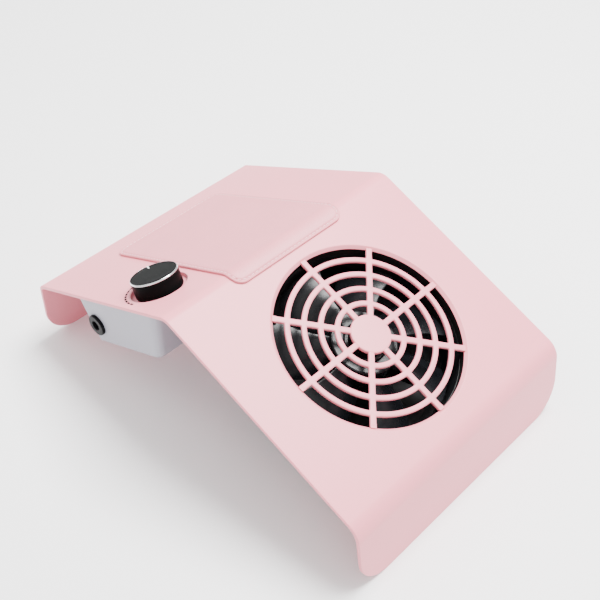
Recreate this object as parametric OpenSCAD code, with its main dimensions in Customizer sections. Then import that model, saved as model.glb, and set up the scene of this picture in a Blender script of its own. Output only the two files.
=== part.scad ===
// Arch-shaped table-top nail dust collector: bent shell, leather hand rest, intake guard, 120 mm fan
// with its brushless motor, dust bag, speed knob on a potentiometer, control box and power inlet.
// +Z is up, -Y faces the technician, the origin is on the table under the middle of the shell.

/* [Shell] */
// Width of the shell, left to right
shell_w = 182; // [176:1:210]
// Depth of the shell over its two feet
shell_d = 278.8; // [274:0.2:284]
// Thickness of the bent sheet
shell_t = 2.2; // [1.8:0.1:3]
// Height of the sharp ridge line
ridge_z = 103.7; // [101:0.1:108]
// Distance of the ridge line behind the middle
ridge_y = 7.3; // [5:0.1:9]
// Slope of the front face, degrees
slope_deg = 22.7; // [22:0.1:23.5]
// Length of the front face along its slope
slope_len = 152.6; // [150:0.1:155]
// Slope of the rear face, degrees
rear_deg = 23.9; // [23:0.1:25]
// Length of the rear face along its slope
rear_len = 142.5; // [140:0.1:145]
// Outer bend radius at the ridge
ridge_r = 11; // [6:0.5:14]
// Outer bend radius above the front foot
front_r = 13.5; // [8:0.5:16]
// Outer bend radius above the rear foot
rear_r = 6; // [4:0.5:10]
// Radius of the feet's lower corners
foot_r = 21; // [10:1:30]

/* [Intake] */
// Distance of the intake's centre below the ridge, along the slope
intake_s = 75.6; // [74:0.1:78]
// Radius of the intake opening
intake_r = 57.5; // [56.5:0.1:58]
// Radial width of the opening's chamfer
intake_chamfer = 1.8; // [0.8:0.1:2]
// Radius of the guard's hub disc
hub_disc_r = 12.4; // [8:0.2:15]
// Mean radii of the guard's rings
ring_radii = [20, 29.8, 39.6, 49.4];
// Width of a guard ring
ring_w = 3.2; // [2:0.1:4]
// Width of a guard spoke
spoke_w = 3.6; // [2:0.1:5]
// Number of guard spokes
spokes = 8; // [4:1:12]
// Thickness of the guard's bars
guard_t = 2.4; // [1.6:0.1:3]

/* [Hand rest] */
// Width of the hand rest
pad_w = 89; // [70:1:110]
// Reach of the hand rest down the front slope
pad_front = 9.5; // [6:0.5:12]
// Reach of the hand rest down the rear slope
pad_rear = 119; // [90:1:125]
// Thickness of the hand rest
pad_t = 1.8; // [1.5:0.1:3]
// Corner radius of the hand rest
pad_corner_r = 8; // [3:1:20]

/* [Fan] */
// Side of the square fan frame
fan_w = 120; // [119:0.5:120]
// Depth of the fan frame
fan_t = 25; // [25:0.5:26]
// Depth of the fan's intake face under the sloping face
fan_gap = 8; // [7.5:0.5:9]
// Distance between the fan's screw holes
fan_pitch = 105; // [104.5:0.1:105]
// Number of impeller blades
blades = 7; // [5:1:9]
// Pitch of the impeller blades, degrees from the fan's plane
blade_pitch = 38; // [30:1:45]
// Running radius of the fan shaft
fan_shaft_r = 1.5; // [1.4:0.05:1.55]

/* [Dust bag] */
// Depth of the bag's mouth band round the fan frame
bag_grip = 7; // [4:0.5:7]
// Thickness of the bag's cloth
bag_t = 1.2; // [0.8:0.1:2]

/* [Speed knob] */
// Place of the knob across the shell
knob_x = -66; // [-68:0.5:-60]
// Distance of the knob below the ridge, along the rear face
knob_v = 39; // [37:0.5:41]
// Radius of the knob
knob_r = 14.6; // [14.4:0.1:15]
// Height of the knob above the rear face
knob_h = 8.9; // [8.6:0.1:10]
// Radius of the round recess that the knob stands in
dish_r = 17.4; // [16.6:0.1:18]
// Depth of the recess
dish_depth = 2.5; // [2.3:0.1:3]
// Direction of the pointer, degrees from straight rearwards towards +X
pointer_deg = 20.5; // [-150:0.5:150]

/* [Control box] */
// Inset of the box's left face from the shell's left edge
box_inset = 2.5; // [2.2:0.1:4]
// Width of the box
box_w = 85; // [82:1:100]
// Depth of the box's floor below the rear face
box_h = 34.5; // [34:0.5:36]
// Start of the box along the rear face, at its top
box_v0 = 14.5; // [13:0.5:16]
// End of the box along the rear face, at its top
box_v1 = 100; // [98:0.5:102]
// Wall thickness of the box
box_t = 2.2; // [1.8:0.1:2.4]
// Place of the power jack along the rear face
jack_v = 88; // [86:0.5:89]
// Depth of the power jack below the rear face
jack_depth = 21; // [19:0.5:23]
// Radius of the jack's flange
jack_flange_r = 7; // [6.8:0.1:7.5]

/* [Hidden] */
$fn = 64;
e = 0.01;
big = 400;

pink = [0.95, 0.81, 0.83];
black = [0.08, 0.08, 0.09];
pale_grey = [0.80, 0.80, 0.83];
silver = [0.80, 0.80, 0.82];
copper = [0.72, 0.42, 0.22];
board_green = [0.10, 0.36, 0.20];

// The shell's side outline in (y, z), from the rear foot over the ridge to the front foot.
// Both ends run on below the table and are cut off level with it.
foot_run = 6;
rear_foot = [shell_d / 2, 0];
ridge = [ridge_y, ridge_z];
rear_bend = ridge + rear_len * [cos(rear_deg), -sin(rear_deg)];
front_bend = ridge + slope_len * [-cos(slope_deg), -sin(slope_deg)];
front_foot = [-shell_d / 2, 0];
outline = [rear_foot + foot_run * heading(rear_bend, rear_foot), rear_bend, ridge, front_bend,
    front_foot + foot_run * heading(front_bend, front_foot)];
bend_r = [0, rear_r, ridge_r, front_r, 0];

function heading(a, b) = (b - a) / norm(b - a);
function inward(d) = [-d[1], d[0]];
function turn(i) = acos(heading(outline[i - 1], outline[i]) * heading(outline[i], outline[i + 1]));
function tangent_len(i) = bend_r[i] == 0 ? 0 : bend_r[i] * tan(turn(i) / 2);

// Centre of the intake, on the outer surface
intake = ridge + intake_s * [-cos(slope_deg), -sin(slope_deg)];

// A point of the sloping face's frame, as a point of the whole object
function slope_pt(p) = [p[0],
    intake[0] + p[1] * cos(slope_deg) - p[2] * sin(slope_deg),
    intake[1] + p[1] * sin(slope_deg) + p[2] * cos(slope_deg)];
// A point of the fan's frame, counted up from its exhaust face
function fan_pt(p) = slope_pt([p[0], p[1], p[2] - fan_gap - fan_t]);
// A point of the rear face's frame: x, distance from the ridge, height over the outer surface
function rear_pt(p) = [p[0],
    ridge[0] + p[1] * cos(rear_deg) + p[2] * sin(rear_deg),
    ridge[1] - p[1] * sin(rear_deg) + p[2] * cos(rear_deg)];

module on_slope() {
    translate([0, intake[0], intake[1]]) rotate([slope_deg, 0, 0]) children();
}
module on_fan() {
    on_slope() translate([0, 0, -fan_gap - fan_t]) children();
}
module on_rear() {
    translate([0, ridge[0], ridge[1]]) rotate([-rear_deg, 0, 0]) children();
}
module on_knob() {
    on_rear() translate([knob_x, knob_v, 0]) children();
}
// Extrudes a (y, z) outline along X, centred
module across(w) {
    rotate([90, 0, 90]) translate([0, 0, -w / 2]) linear_extrude(w) children();
}
module tube(r_out, r_in, h) {
    difference() {
        cylinder(r = r_out, h = h);
        translate([0, 0, -1]) cylinder(r = r_in, h = h + 2);
    }
}
module at_corners(pitch) {
    for (sx = [-1, 1], sy = [-1, 1]) {
        translate([sx * pitch / 2, sy * pitch / 2, 0]) children();
    }
}
// A pan-head screw whose head's underside is at z = 0 and whose shank points up
module pan_screw(head_r, head_h, shank_r, length) {
    difference() {
        union() {
            translate([0, 0, -head_h]) cylinder(r = head_r, h = head_h);
            cylinder(r = shank_r, h = length);
        }
        for (a = [0, 90]) {
            rotate([0, 0, a]) translate([-head_r * 0.6, -head_r * 0.11, -head_h - e])
                cube([head_r * 1.2, head_r * 0.22, head_h * 0.55]);
        }
    }
}
// The smooth curve that starts and ends at a route's ends and rounds its corners, n steps a corner
function middle(a, b) = (a + b) / 2;
function corner_pt(a, b, c, t) = (1 - t) * (1 - t) * a + 2 * t * (1 - t) * b + t * t * c;
function rounded(p, n) = concat([p[0]],
    [for (i = [1 : len(p) - 2], k = [0 : n - 1])
        corner_pt(middle(p[i - 1], p[i]), p[i], middle(p[i], p[i + 1]), k / n)],
    [middle(p[len(p) - 2], p[len(p) - 1]), p[len(p) - 1]]);
function unit(a) = a / norm(a);
function headings(c) = [for (i = [0 : len(c) - 1]) unit(c[min(i + 1, len(c) - 1)] - c[max(i - 1, 0)])];
// Side directions carried along the curve without twisting
function sides(t, i, s) = i == len(t) ? [] :
    let (m = unit(s - (s * t[i]) * t[i])) concat([m], sides(t, i + 1, m));

// A wire swept along a route
module wire(route, r) {
    n = 8;
    c = rounded(route, 3);
    t = headings(c);
    s = sides(t, 0, abs(t[0][0]) < 0.9 ? [1, 0, 0] : [0, 0, 1]);
    last = len(c) - 1;
    skin = [for (i = [0 : last], k = [0 : n - 1])
        c[i] + r * (cos(k * 360 / n) * s[i] + sin(k * 360 / n) * cross(t[i], s[i]))];
    polyhedron(skin, concat(
        [[for (k = [0 : n - 1]) k]],
        [for (i = [0 : last - 1], k = [0 : n - 1])
            let (a = i * n + k, b = i * n + (k + 1) % n) [a, a + n, b + n, b]],
        [[for (k = [n - 1 : -1 : 0]) last * n + k]]));
}

// The outline at a depth under the outer surface, with bend i as an arc of short steps
bend_steps = 12;
function bend_centre(i) = outline[i] - tangent_len(i) * heading(outline[i - 1], outline[i])
    + bend_r[i] * inward(heading(outline[i - 1], outline[i]));
function heading_angle(d) = atan2(d[1], d[0]);
function bend_pt(i, depth, share) =
    let (a = heading_angle(heading(outline[i - 1], outline[i])) - 90 + share * turn(i))
    bend_centre(i) + (bend_r[i] - depth) * [cos(a), sin(a)];
function bend_arc(i, depth) = [for (k = [0 : bend_steps]) bend_pt(i, depth, k / bend_steps)];
function end_pt(i, j, depth) = outline[i] + depth * inward(heading(outline[min(i, j)], outline[max(i, j)]));
function skin_line(depth) = concat([end_pt(0, 1, depth)], bend_arc(1, depth), bend_arc(2, depth),
    bend_arc(3, depth), [end_pt(4, 3, depth)]);
function reversed(list) = [for (i = [len(list) - 1 : -1 : 0]) list[i]];

// ---- Shell ----

// The plan seen from the front: straight sides, rounded lower corners
module front_view() {
    hs = shell_w / 2;
    difference() {
        translate([-hs, 0]) square([shell_w, ridge_z + 20]);
        for (sx = [-1, 1]) {
            translate([sx * (hs - foot_r), foot_r]) difference() {
                translate([sx > 0 ? 0 : -foot_r - 1, -foot_r - 1]) square([foot_r + 1, foot_r + 1]);
                circle(r = foot_r, $fn = 96);
            }
        }
    }
}

boss_v = [[-82.5, 36.5], [-9.5, 36.5], [-9.5, 89], [-58, 89]];
boss_r = 3.6;
box_screw_r = 1.2;
fan_screw_r = 1.95;
fan_boss_r = 4.5;
pot_bush_r = 3.5;
pan_wall = 1.8;
pan_z = -dish_depth - 1.7;

module top_shell() {
    color(pink) difference() {
        union() {
            intersection() {
                across(shell_w) polygon(concat(skin_line(0), reversed(skin_line(shell_t))));
                rotate([90, 0, 0]) translate([0, 0, -big / 2]) linear_extrude(big) front_view();
            }
            on_slope() at_corners(fan_pitch) {
                translate([0, 0, -fan_gap]) cylinder(r = fan_boss_r, h = fan_gap - shell_t / 2);
            }
            on_rear() for (p = boss_v) {
                translate([p[0], p[1], box_t - box_h]) cylinder(r = boss_r, h = box_h - box_t - shell_t / 2);
            }
            on_knob() translate([0, 0, pan_z]) cylinder(r = dish_r + pan_wall, h = -pan_z - shell_t / 2);
        }
        on_slope() {
            translate([0, 0, -shell_t - 1]) cylinder(r = intake_r, h = shell_t + 2, $fn = 128);
            translate([0, 0, -intake_chamfer])
                cylinder(r1 = intake_r, r2 = intake_r + intake_chamfer * 2, h = intake_chamfer * 2, $fn = 128);
            at_corners(fan_pitch) {
                translate([0, 0, -fan_gap - 1]) cylinder(r = fan_screw_r + 0.05, h = fan_gap);
            }
        }
        on_rear() for (p = boss_v) {
            translate([p[0], p[1], box_t - box_h - 1]) cylinder(r = box_screw_r + 0.05, h = 11);
        }
        on_knob() {
            translate([0, 0, pan_z - 1]) cylinder(r = pot_bush_r + 0.1, h = 6);
            translate([0, 0, -dish_depth]) cylinder(r = dish_r, h = dish_depth + 2);
        }
    }
}

// ---- Hand rest ----

module pad_corner_cut(sx, sy) {
    translate([sx * (pad_w / 2 - pad_corner_r), sy * -pad_corner_r, -2]) difference() {
        translate([sx > 0 ? 0 : -pad_corner_r - 1, sy > 0 ? 0 : -pad_corner_r - 1, 0])
            cube([pad_corner_r + 1, pad_corner_r + 1, 6]);
        translate([0, 0, -1]) cylinder(r = pad_corner_r, h = 8);
    }
}

// The pad's side outline at a height over the shell's outer surface
function pad_line(height) =
    let (down = [-cos(slope_deg), -sin(slope_deg)], back = [cos(rear_deg), -sin(rear_deg)])
    concat([ridge + pad_rear * back + height * [-back[1], back[0]]], bend_arc(2, -height),
        [ridge + pad_front * down + height * [down[1], -down[0]]]);

module hand_rest_pad() {
    color([0.93, 0.79, 0.81]) difference() {
        across(pad_w) polygon(concat(pad_line(pad_t), reversed(pad_line(0))));
        on_rear() translate([0, pad_rear, 0]) for (sx = [-1, 1]) pad_corner_cut(sx, 1);
        on_slope() translate([0, intake_s - pad_front, 0]) mirror([0, 1, 0])
            for (sx = [-1, 1]) pad_corner_cut(sx, 1);
    }
}

// ---- Intake guard ----

guard_top = -0.3;
collar_in = 57.6;
collar_out = 60.6;

module spoke_plan(r_in, r_out) {
    intersection() {
        difference() {
            circle(r = r_out, $fn = 128);
            circle(r = r_in, $fn = 128);
        }
        for (i = [0 : spokes - 1]) rotate(i * 360 / spokes) translate([0, -spoke_w / 2]) square([big, spoke_w]);
    }
}

module guard_plan() {
    circle(r = hub_disc_r);
    for (r = ring_radii) difference() {
        circle(r = r + ring_w / 2, $fn = 128);
        circle(r = r - ring_w / 2, $fn = 128);
    }
    spoke_plan(hub_disc_r - 1, intake_r - 0.15);
}

module intake_grille() {
    arm_z = -shell_t - 2.8;
    color(pink) on_slope() {
        translate([0, 0, guard_top - guard_t]) linear_extrude(guard_t) guard_plan();
        translate([0, 0, guard_top - 0.8]) linear_extrude(0.8) spoke_plan(intake_r - 1, intake_r + 0.6);
        translate([0, 0, arm_z]) linear_extrude(guard_top - guard_t - arm_z + 0.1)
            spoke_plan(intake_r - 2.5, intake_r - 0.15);
        translate([0, 0, arm_z]) linear_extrude(2.5) spoke_plan(intake_r - 1, intake_r + 1.5);
        translate([0, 0, 0.05 - fan_gap]) linear_extrude(fan_gap - shell_t - 0.1) difference() {
            circle(r = collar_out, $fn = 128);
            circle(r = collar_in, $fn = 128);
        }
    }
}

// ---- Fan, standing parts ----

duct_r = 57.5;
duct_wall = 1.8;
flange_t = 4;
post_r = 4;
mount_r = 21;
mount_t = 3;
well_r = 3.05;
well_out = 5;
strut_w = 3.4;
lead_deg = 120;
lead_slot_w = 3.2;

module frame_plate(h) {
    difference() {
        linear_extrude(h) difference() {
            square(fan_w, center = true);
            for (a = [0 : 90 : 270]) rotate(a) translate([fan_w / 2 - 5, fan_w / 2 - 5]) difference() {
                square(6);
                circle(r = 5);
            }
        }
        translate([0, 0, -1]) cylinder(r = duct_r, h = h + 2, $fn = 128);
    }
}

module fan_frame() {
    color(black) on_fan() difference() {
        union() {
            frame_plate(flange_t);
            translate([0, 0, fan_t - flange_t]) frame_plate(flange_t);
            tube(duct_r + duct_wall, duct_r, fan_t, $fn = 128);
            at_corners(fan_pitch) cylinder(r = post_r, h = fan_t);
            cylinder(r = mount_r, h = mount_t);
            cylinder(r = well_out, h = 16);
            for (a = [0 : 90 : 270]) rotate([0, 0, lead_deg + a]) {
                w = a == 0 ? lead_slot_w + 2.8 : strut_w;
                translate([mount_r - 2, -w / 2, 0]) cube([duct_r + 1 - mount_r + 2, w, mount_t]);
            }
        }
        translate([0, 0, 2.2]) cylinder(r = well_r, h = 20);
        at_corners(fan_pitch) translate([0, 0, -1]) cylinder(r = fan_screw_r + 0.2, h = fan_t + 2);
        rotate([0, 0, lead_deg]) {
            translate([9, -lead_slot_w / 2, 1]) cube([duct_r - 8, lead_slot_w, mount_t + 2]);
            translate([duct_r - 2, -lead_slot_w / 2, 1]) cube([7.5, lead_slot_w, flange_t]);
        }
    }
}

module sleeve_bearing() {
    color([0.62, 0.50, 0.30]) on_fan() translate([0, 0, 5]) tube(well_r, fan_shaft_r + 0.03, 10);
}

core_z = 7;
core_h = 7;
core_bore = well_out + 0.02;
shoe_r = 15.6;

module stator_core() {
    color([0.45, 0.46, 0.48]) on_fan() translate([0, 0, core_z]) linear_extrude(core_h) difference() {
        union() {
            circle(r = 7.2);
            for (a = [45 : 90 : 315]) rotate(a) translate([0, -1.8]) square([14.5, 3.6]);
            intersection() {
                difference() {
                    circle(r = shoe_r);
                    circle(r = 13.6);
                }
                for (a = [45 : 90 : 315]) rotate(a) polygon([[0, 0], [20, -13], [20, 13]]);
            }
        }
        circle(r = core_bore);
    }
}

module stator_coils() {
    color(copper) on_fan() for (a = [45 : 90 : 315]) rotate([0, 0, a]) {
        translate([7.6, 0, core_z - 1.4]) difference() {
            translate([0, -3.4, 0]) cube([5.4, 6.8, core_h + 2.8]);
            translate([-1, -1.85, 1.35]) cube([8, 3.7, core_h + 0.1]);
        }
    }
}

module fan_circuit_board() {
    color(board_green) on_fan() translate([0, 0, mount_t]) tube(15.8, well_out + 0.1, 1.2);
}

module fan_screws() {
    color(silver) on_fan() at_corners(fan_pitch) pan_screw(3.8, 2.2, fan_screw_r, fan_t + 5);
}

// ---- Fan, turning parts ----

hub_r = 21;
hub_in = 19.6;
hub_z = 4.4;
hub_top = 22.4;
blade_r = 55.8;
yoke_r = 19.5;

module fan_impeller() {
    blade_h = 16;
    color(black) on_fan() {
        difference() {
            union() {
                translate([0, 0, hub_z]) cylinder(r = hub_r, h = hub_top - hub_z);
                for (i = [0 : blades - 1]) rotate([0, 0, i * 360 / blades]) intersection() {
                    translate([hub_r - 1, 0, hub_z + 0.6 + blade_h / 2]) rotate([-blade_pitch, 0, 0])
                        translate([0, -15, -0.8]) cube([40, 30, 1.6]);
                    translate([0, 0, hub_z + 0.6]) tube(blade_r, hub_r - 0.6, blade_h, $fn = 128);
                }
            }
            translate([0, 0, hub_z - 1]) cylinder(r = hub_in, h = hub_top - hub_z - 0.5);
        }
        translate([0, 0, 17.2]) tube(3.2, fan_shaft_r, hub_top - 17.2 - 1);
    }
}

module rotor_yoke() {
    color(silver) on_fan() translate([0, 0, hub_z + 0.2]) difference() {
        cylinder(r = yoke_r, h = 16.2);
        translate([0, 0, -1]) cylinder(r = yoke_r - 1, h = 16.2);
        cylinder(r = 3.3, h = 20);
    }
}

module rotor_magnet() {
    color([0.20, 0.18, 0.18]) on_fan() translate([0, 0, 5.4]) tube(yoke_r - 1.05, 16.4, 12);
}

module fan_shaft() {
    color(silver) on_fan() difference() {
        translate([0, 0, 3]) cylinder(r = fan_shaft_r, h = hub_top - 1.5 - 3);
        translate([0, 0, 3.9]) tube(fan_shaft_r + 1, 1.1, 0.6);
    }
}

module shaft_clip() {
    color(silver) on_fan() translate([0, 0, 3.95]) difference() {
        cylinder(r = 2.6, h = 0.5);
        translate([0, 0, -1]) cylinder(r = 1.12, h = 3);
        translate([0, -0.7, -1]) cube([4, 1.4, 3]);
    }
}

// ---- Fan leads: from the motor board, along the wide strut, out of the frame and into the box ----

lead_r = 0.55;
grommet_x = -33;
grommet_z = 85;
grommet_y = rear_pt([0, box_v0, -shell_t])[1];

module fan_leads() {
    route = [for (p = [[12, mount_t], [12, 2], [30, 2], [54, 2], [61.2, 2], [62.3, 6]])
        fan_pt([p[0] * cos(lead_deg), p[0] * sin(lead_deg), p[1]])];
    for (side = [-1, 1]) {
        shift = side * 0.75 * [-sin(lead_deg), cos(lead_deg) * cos(slope_deg), cos(lead_deg) * sin(slope_deg)];
        lane = -side * 0.62;
        inside = concat([for (p = route) p + shift], [
            fan_pt([-31 + lane, 54.2, 13]),
            fan_pt([-32 + lane, 63, 15]),
            [grommet_x + lane, grommet_y - 5, grommet_z],
            [grommet_x + lane, grommet_y + 5, grommet_z],
            rear_pt([-34 + lane, 34, -11]),
            rear_pt([-34 + lane, 44.2, -13]),
            rear_pt([-34 + lane, 44.2, -18]),
            rear_pt([-34 + lane, 44.2, lead_top])]);
        color(side < 0 ? "firebrick" : black) wire(inside, lead_r);
    }
}

module lead_grommet() {
    color(black) translate([grommet_x, grommet_y + box_t / 2, grommet_z]) rotate([90, 0, 0])
        translate([0, 0, -box_t / 2 - 1.2]) difference() {
            union() {
                cylinder(r = 2.55, h = box_t + 2.4);
                cylinder(r = 3.8, h = 1.15);
                translate([0, 0, box_t + 1.25]) cylinder(r = 3.8, h = 1.15);
            }
            translate([0, 0, -1]) cylinder(r = 1.5, h = 10);
        }
}

// ---- Dust bag ----

// Side and front outlines of the pouch in the fan's frame; the floor stays clear of the table
module bag_side(inset) {
    polygon([[-61.6 + inset, bag_grip + e], [-61.6 + inset, -6], [-50 + inset, -17 + inset],
        [33, -49 + inset], [50 - inset, -38 + inset / 2], [61.6 - inset, -8], [61.6 - inset, bag_grip + e]]);
}
module bag_front(inset) {
    polygon([[-61.6 + inset, bag_grip + 1], [-61.6 + inset, -8], [-45 + inset, -50 + inset / 2],
        [-40, -60], [40, -60], [45 - inset, -50 + inset / 2], [61.6 - inset, -8], [61.6 - inset, bag_grip + 1]]);
}
module bag_form(inset, raise) {
    intersection() {
        across(140) translate([0, 0]) bag_side(inset);
        translate([0, raise, 0]) rotate([90, 0, 0]) translate([0, 0, -70]) linear_extrude(140) bag_front(inset);
    }
}

module dust_bag() {
    color([0.93, 0.93, 0.92]) on_fan() difference() {
        bag_form(0, 0);
        bag_form(bag_t, 0);
        translate([-60.4, -60.4, -3]) cube([120.8, 120.8, bag_grip + 10]);
    }
}

module bag_elastic() {
    color("white") on_fan() translate([0, 0, 3]) linear_extrude(3) difference() {
        square(125.6, center = true);
        square(123.3, center = true);
    }
}

// ---- Control box ----

box_x0 = -shell_w / 2 + box_inset;
rear_draft = 4;

// The box's front wall stands plumb: its place along the rear face at a height under it
function front_wall_v(z, inset) = box_v0 + (-shell_t - z) * tan(rear_deg) + inset / cos(rear_deg);
module box_side(inset) {
    top = -shell_t + (inset > 0 ? 1 : 0);
    floor_z = -box_h + inset;
    polygon([[front_wall_v(top, inset), top], [front_wall_v(floor_z, inset), floor_z],
        [box_v1 - rear_draft - inset, floor_z], [box_v1 - inset, top]]);
}
module box_form(inset) {
    translate([box_x0 + box_w / 2, 0, 0]) across(box_w - 2 * inset) box_side(inset);
}

board_x0 = -56;
board_x1 = -14;
board_v0 = 39;
board_v1 = 82;
board_z = -27;
board_t = 1.6;
board_holes = [[-52, 43], [-18, 43], [-52, 78], [-18, 78]];
jack_thread_r = 5.5;

module control_box() {
    color(pale_grey) difference() {
        union() {
            on_rear() difference() {
                box_form(0);
                box_form(box_t);
            }
            on_rear() for (p = board_holes) {
                translate([p[0], p[1], -box_h + box_t / 2]) cylinder(r = 2.8, h = box_h - box_t / 2 + board_z);
            }
        }
        on_rear() {
            for (p = boss_v) {
                translate([p[0], p[1], -box_h - 1]) cylinder(r = box_screw_r + 0.2, h = box_t + 2);
                translate([p[0], p[1], -box_h - 1]) cylinder(r = 2.8, h = 1.9);
            }
            for (p = board_holes) translate([p[0], p[1], -box_h + 1.5]) cylinder(r = 1.05, h = 10);
            translate([box_x0 - 1, jack_v, -jack_depth]) rotate([0, 90, 0])
                cylinder(r = jack_thread_r + 0.1, h = box_t + 2);
        }
        translate([grommet_x, grommet_y - 3, grommet_z]) rotate([-90, 0, 0]) cylinder(r = 2.6, h = 9);
    }
}

module box_screws() {
    color(silver) on_rear() for (p = boss_v) {
        translate([p[0], p[1], -box_h + 0.9]) pan_screw(2.5, 1.4, box_screw_r, 9.5);
    }
}

module board_screws() {
    color(silver) on_rear() for (p = board_holes) {
        translate([p[0], p[1], board_z + board_t]) mirror([0, 0, 1]) pan_screw(2.1, 1.2, 1, 6);
    }
}

// ---- Power inlet, along the jack's own axis, +Z into the box ----

module on_jack() {
    on_rear() translate([box_x0, jack_v, -jack_depth]) rotate([0, 90, 0]) children();
}

socket_r = 3;
socket_floor = 9.5;
pin_r = 1.05;
rivet_r = 1.5;

module power_jack() {
    color(black) on_jack() difference() {
        union() {
            translate([0, 0, -2]) cylinder(r = jack_flange_r, h = 2);
            cylinder(r = jack_thread_r, h = 10);
            cylinder(r = 4.6, h = 15);
        }
        translate([0, 0, -3]) cylinder(r = socket_r, h = socket_floor + 3);
        translate([0, 0, socket_floor - 1]) cylinder(r = rivet_r, h = 3.5);
    }
}

module jack_nut() {
    color(silver) on_jack() translate([0, 0, box_t + 0.05]) difference() {
        cylinder(r = 7.8, h = 2.4, $fn = 6);
        translate([0, 0, -1]) cylinder(r = jack_thread_r + 0.02, h = 5);
    }
}

module jack_pin() {
    color(silver) on_jack() {
        translate([0, 0, 0.5]) cylinder(r = pin_r, h = socket_floor - 0.5);
        translate([0, 0, socket_floor]) cylinder(r = rivet_r, h = 2.5);
    }
}

// ---- Potentiometer ----

can_r = 8.2;
can_back = pan_z - 7.2;
pot_shaft_r = 3;
nut_r = 5.6;

module pot_body() {
    color(silver) on_knob() difference() {
        union() {
            translate([0, 0, can_back]) cylinder(r = can_r, h = pan_z - can_back);
            translate([0, 0, pan_z - 1]) cylinder(r = pot_bush_r, h = 5.7);
        }
        translate([0, 0, can_back - 1]) cylinder(r = can_r - 0.7, h = pan_z - can_back - 0.2);
        translate([0, 0, pan_z - 3.8]) cylinder(r = pot_shaft_r + 0.03, h = 14);
    }
}

module pot_track() {
    color([0.55, 0.35, 0.16]) on_knob() translate([0, 0, can_back - 1.2]) {
        cylinder(r = can_r, h = 1.2);
        for (x = [-4, 0, 4]) translate([x - 0.6, 0, 0]) cube([1.2, 12.5, 0.5]);
    }
}

module pot_washer() {
    color(silver) on_knob() translate([0, 0, -dish_depth]) tube(6.2, pot_bush_r + 0.1, 0.5);
}

module pot_nut() {
    color(silver) on_knob() translate([0, 0, 0.5 - dish_depth]) difference() {
        cylinder(r = nut_r, h = 2, $fn = 6);
        translate([0, 0, -1]) cylinder(r = pot_bush_r + 0.02, h = 4);
    }
}

module d_shaft(r) {
    difference() {
        cylinder(r = r, h = 12.8);
        translate([-r - 1, r - 1.5, 9.4]) cube([2 * r + 2, 3, 5]);
    }
}

shaft_z = pan_z - 4;

module pot_shaft() {
    color(silver) on_knob() rotate([0, 0, -pointer_deg]) translate([0, 0, shaft_z]) d_shaft(pot_shaft_r);
}

module pot_wiper() {
    color(copper) on_knob() rotate([0, 0, -pointer_deg]) {
        translate([0, 0, shaft_z - 0.8]) cylinder(r = 6, h = 0.8);
        translate([-0.8, 4, can_back + 0.15]) cube([1.6, 1.6, shaft_z - can_back - 0.5]);
    }
}

// ---- Knob ----

rim_r = 13.9;
ring_z = knob_h - 1.3;
knob_bottom = 0.6 - dish_depth;
knob_ceiling = 1;

module knob_body() {
    color(black) on_knob() rotate([0, 0, -pointer_deg]) difference() {
        rotate_extrude($fn = 96) polygon([[0, knob_ceiling], [12, knob_ceiling], [12, knob_bottom],
            [knob_r, knob_bottom], [knob_r, ring_z], [rim_r, ring_z], [rim_r, knob_h], [0, knob_h]]);
        translate([0, 0, shaft_z]) d_shaft(pot_shaft_r + 0.02);
        translate([0, 0, knob_h - 0.35]) pointer_form(0.03);
    }
}

module pointer_form(slack) {
    linear_extrude(1) polygon([[-0.45 - slack, 8], [0.45 + slack, 8], [0.95 + slack, 16], [-0.95 - slack, 16]]);
}

module knob_trim_ring() {
    color(silver) on_knob() rotate_extrude($fn = 96) polygon([[rim_r, ring_z], [knob_r + 0.1, ring_z],
        [knob_r + 0.1, ring_z + 0.3], [rim_r + 0.3, knob_h + 0.1], [rim_r, knob_h + 0.1]]);
}

module knob_pointer() {
    color("white") on_knob() rotate([0, 0, -pointer_deg]) translate([0, 0, knob_h - 0.32]) intersection() {
        pointer_form(0);
        cylinder(r = rim_r - 0.03, h = 0.37);
    }
}

// ---- Control circuit ----

module control_board() {
    color(board_green) on_rear() translate([0, 0, board_z]) difference() {
        translate([board_x0, board_v0, 0]) cube([board_x1 - board_x0, board_v1 - board_v0, board_t]);
        for (p = board_holes) translate([p[0], p[1], -1]) cylinder(r = 1.15, h = 5);
    }
}

module on_board(x, v) {
    on_rear() translate([x, v, board_z + board_t]) children();
}

module board_capacitors() {
    color([0.12, 0.14, 0.30]) {
        on_board(-44, 74) cylinder(r = 4, h = 11);
        on_board(-34, 75) cylinder(r = 3.15, h = 9);
        on_board(-45, 56) cylinder(r = 2.5, h = 7);
    }
}

module board_inductor() {
    color(copper) on_board(-35, 62) tube(5, 2.4, 5);
}

module drive_transistor() {
    color(black) on_board(-19.2, 60.5) translate([-1.5, -5, 2]) cube([4.4, 10, 9]);
    color(silver) for (dv = [-2.54, 0, 2.54]) {
        on_board(-18.4, 60.5 + dv) translate([-0.35, -0.4, 0]) cube([0.7, 0.8, 2]);
    }
}

module transistor_heat_sink() {
    color(silver) on_board(-24, 60.5) {
        translate([1.6, -8, 0]) cube([1.6, 16, 14]);
        for (dv = [-8, -4.2, -0.6, 3, 6.8]) translate([-3.4, dv, 3]) cube([5.2, 1.2, 11]);
    }
}

module controller_chip() {
    color([0.12, 0.12, 0.13]) on_board(-28, 49) translate([-3, -2.5, 0.2]) cube([6, 5, 1.5]);
    color(silver) for (i = [0 : 3], sv = [-1, 1]) {
        on_board(-28 - 1.9 + i * 1.27, 49 + sv * 3) translate([-0.2, -0.6, 0]) cube([0.4, 1.2, 0.7]);
    }
}

socket_places = [[-34, 44.2], [-50.4, 51], [-50.4, 66]];

module wire_sockets() {
    color("ivory") for (p = socket_places) on_board(p[0], p[1]) difference() {
        translate([-3, -2, 0]) cube([6, 4, 6.5]);
        translate([-2.2, -1.2, 2]) cube([4.4, 2.4, 6]);
    }
}

lead_top = board_z + board_t + 2.6;

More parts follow.
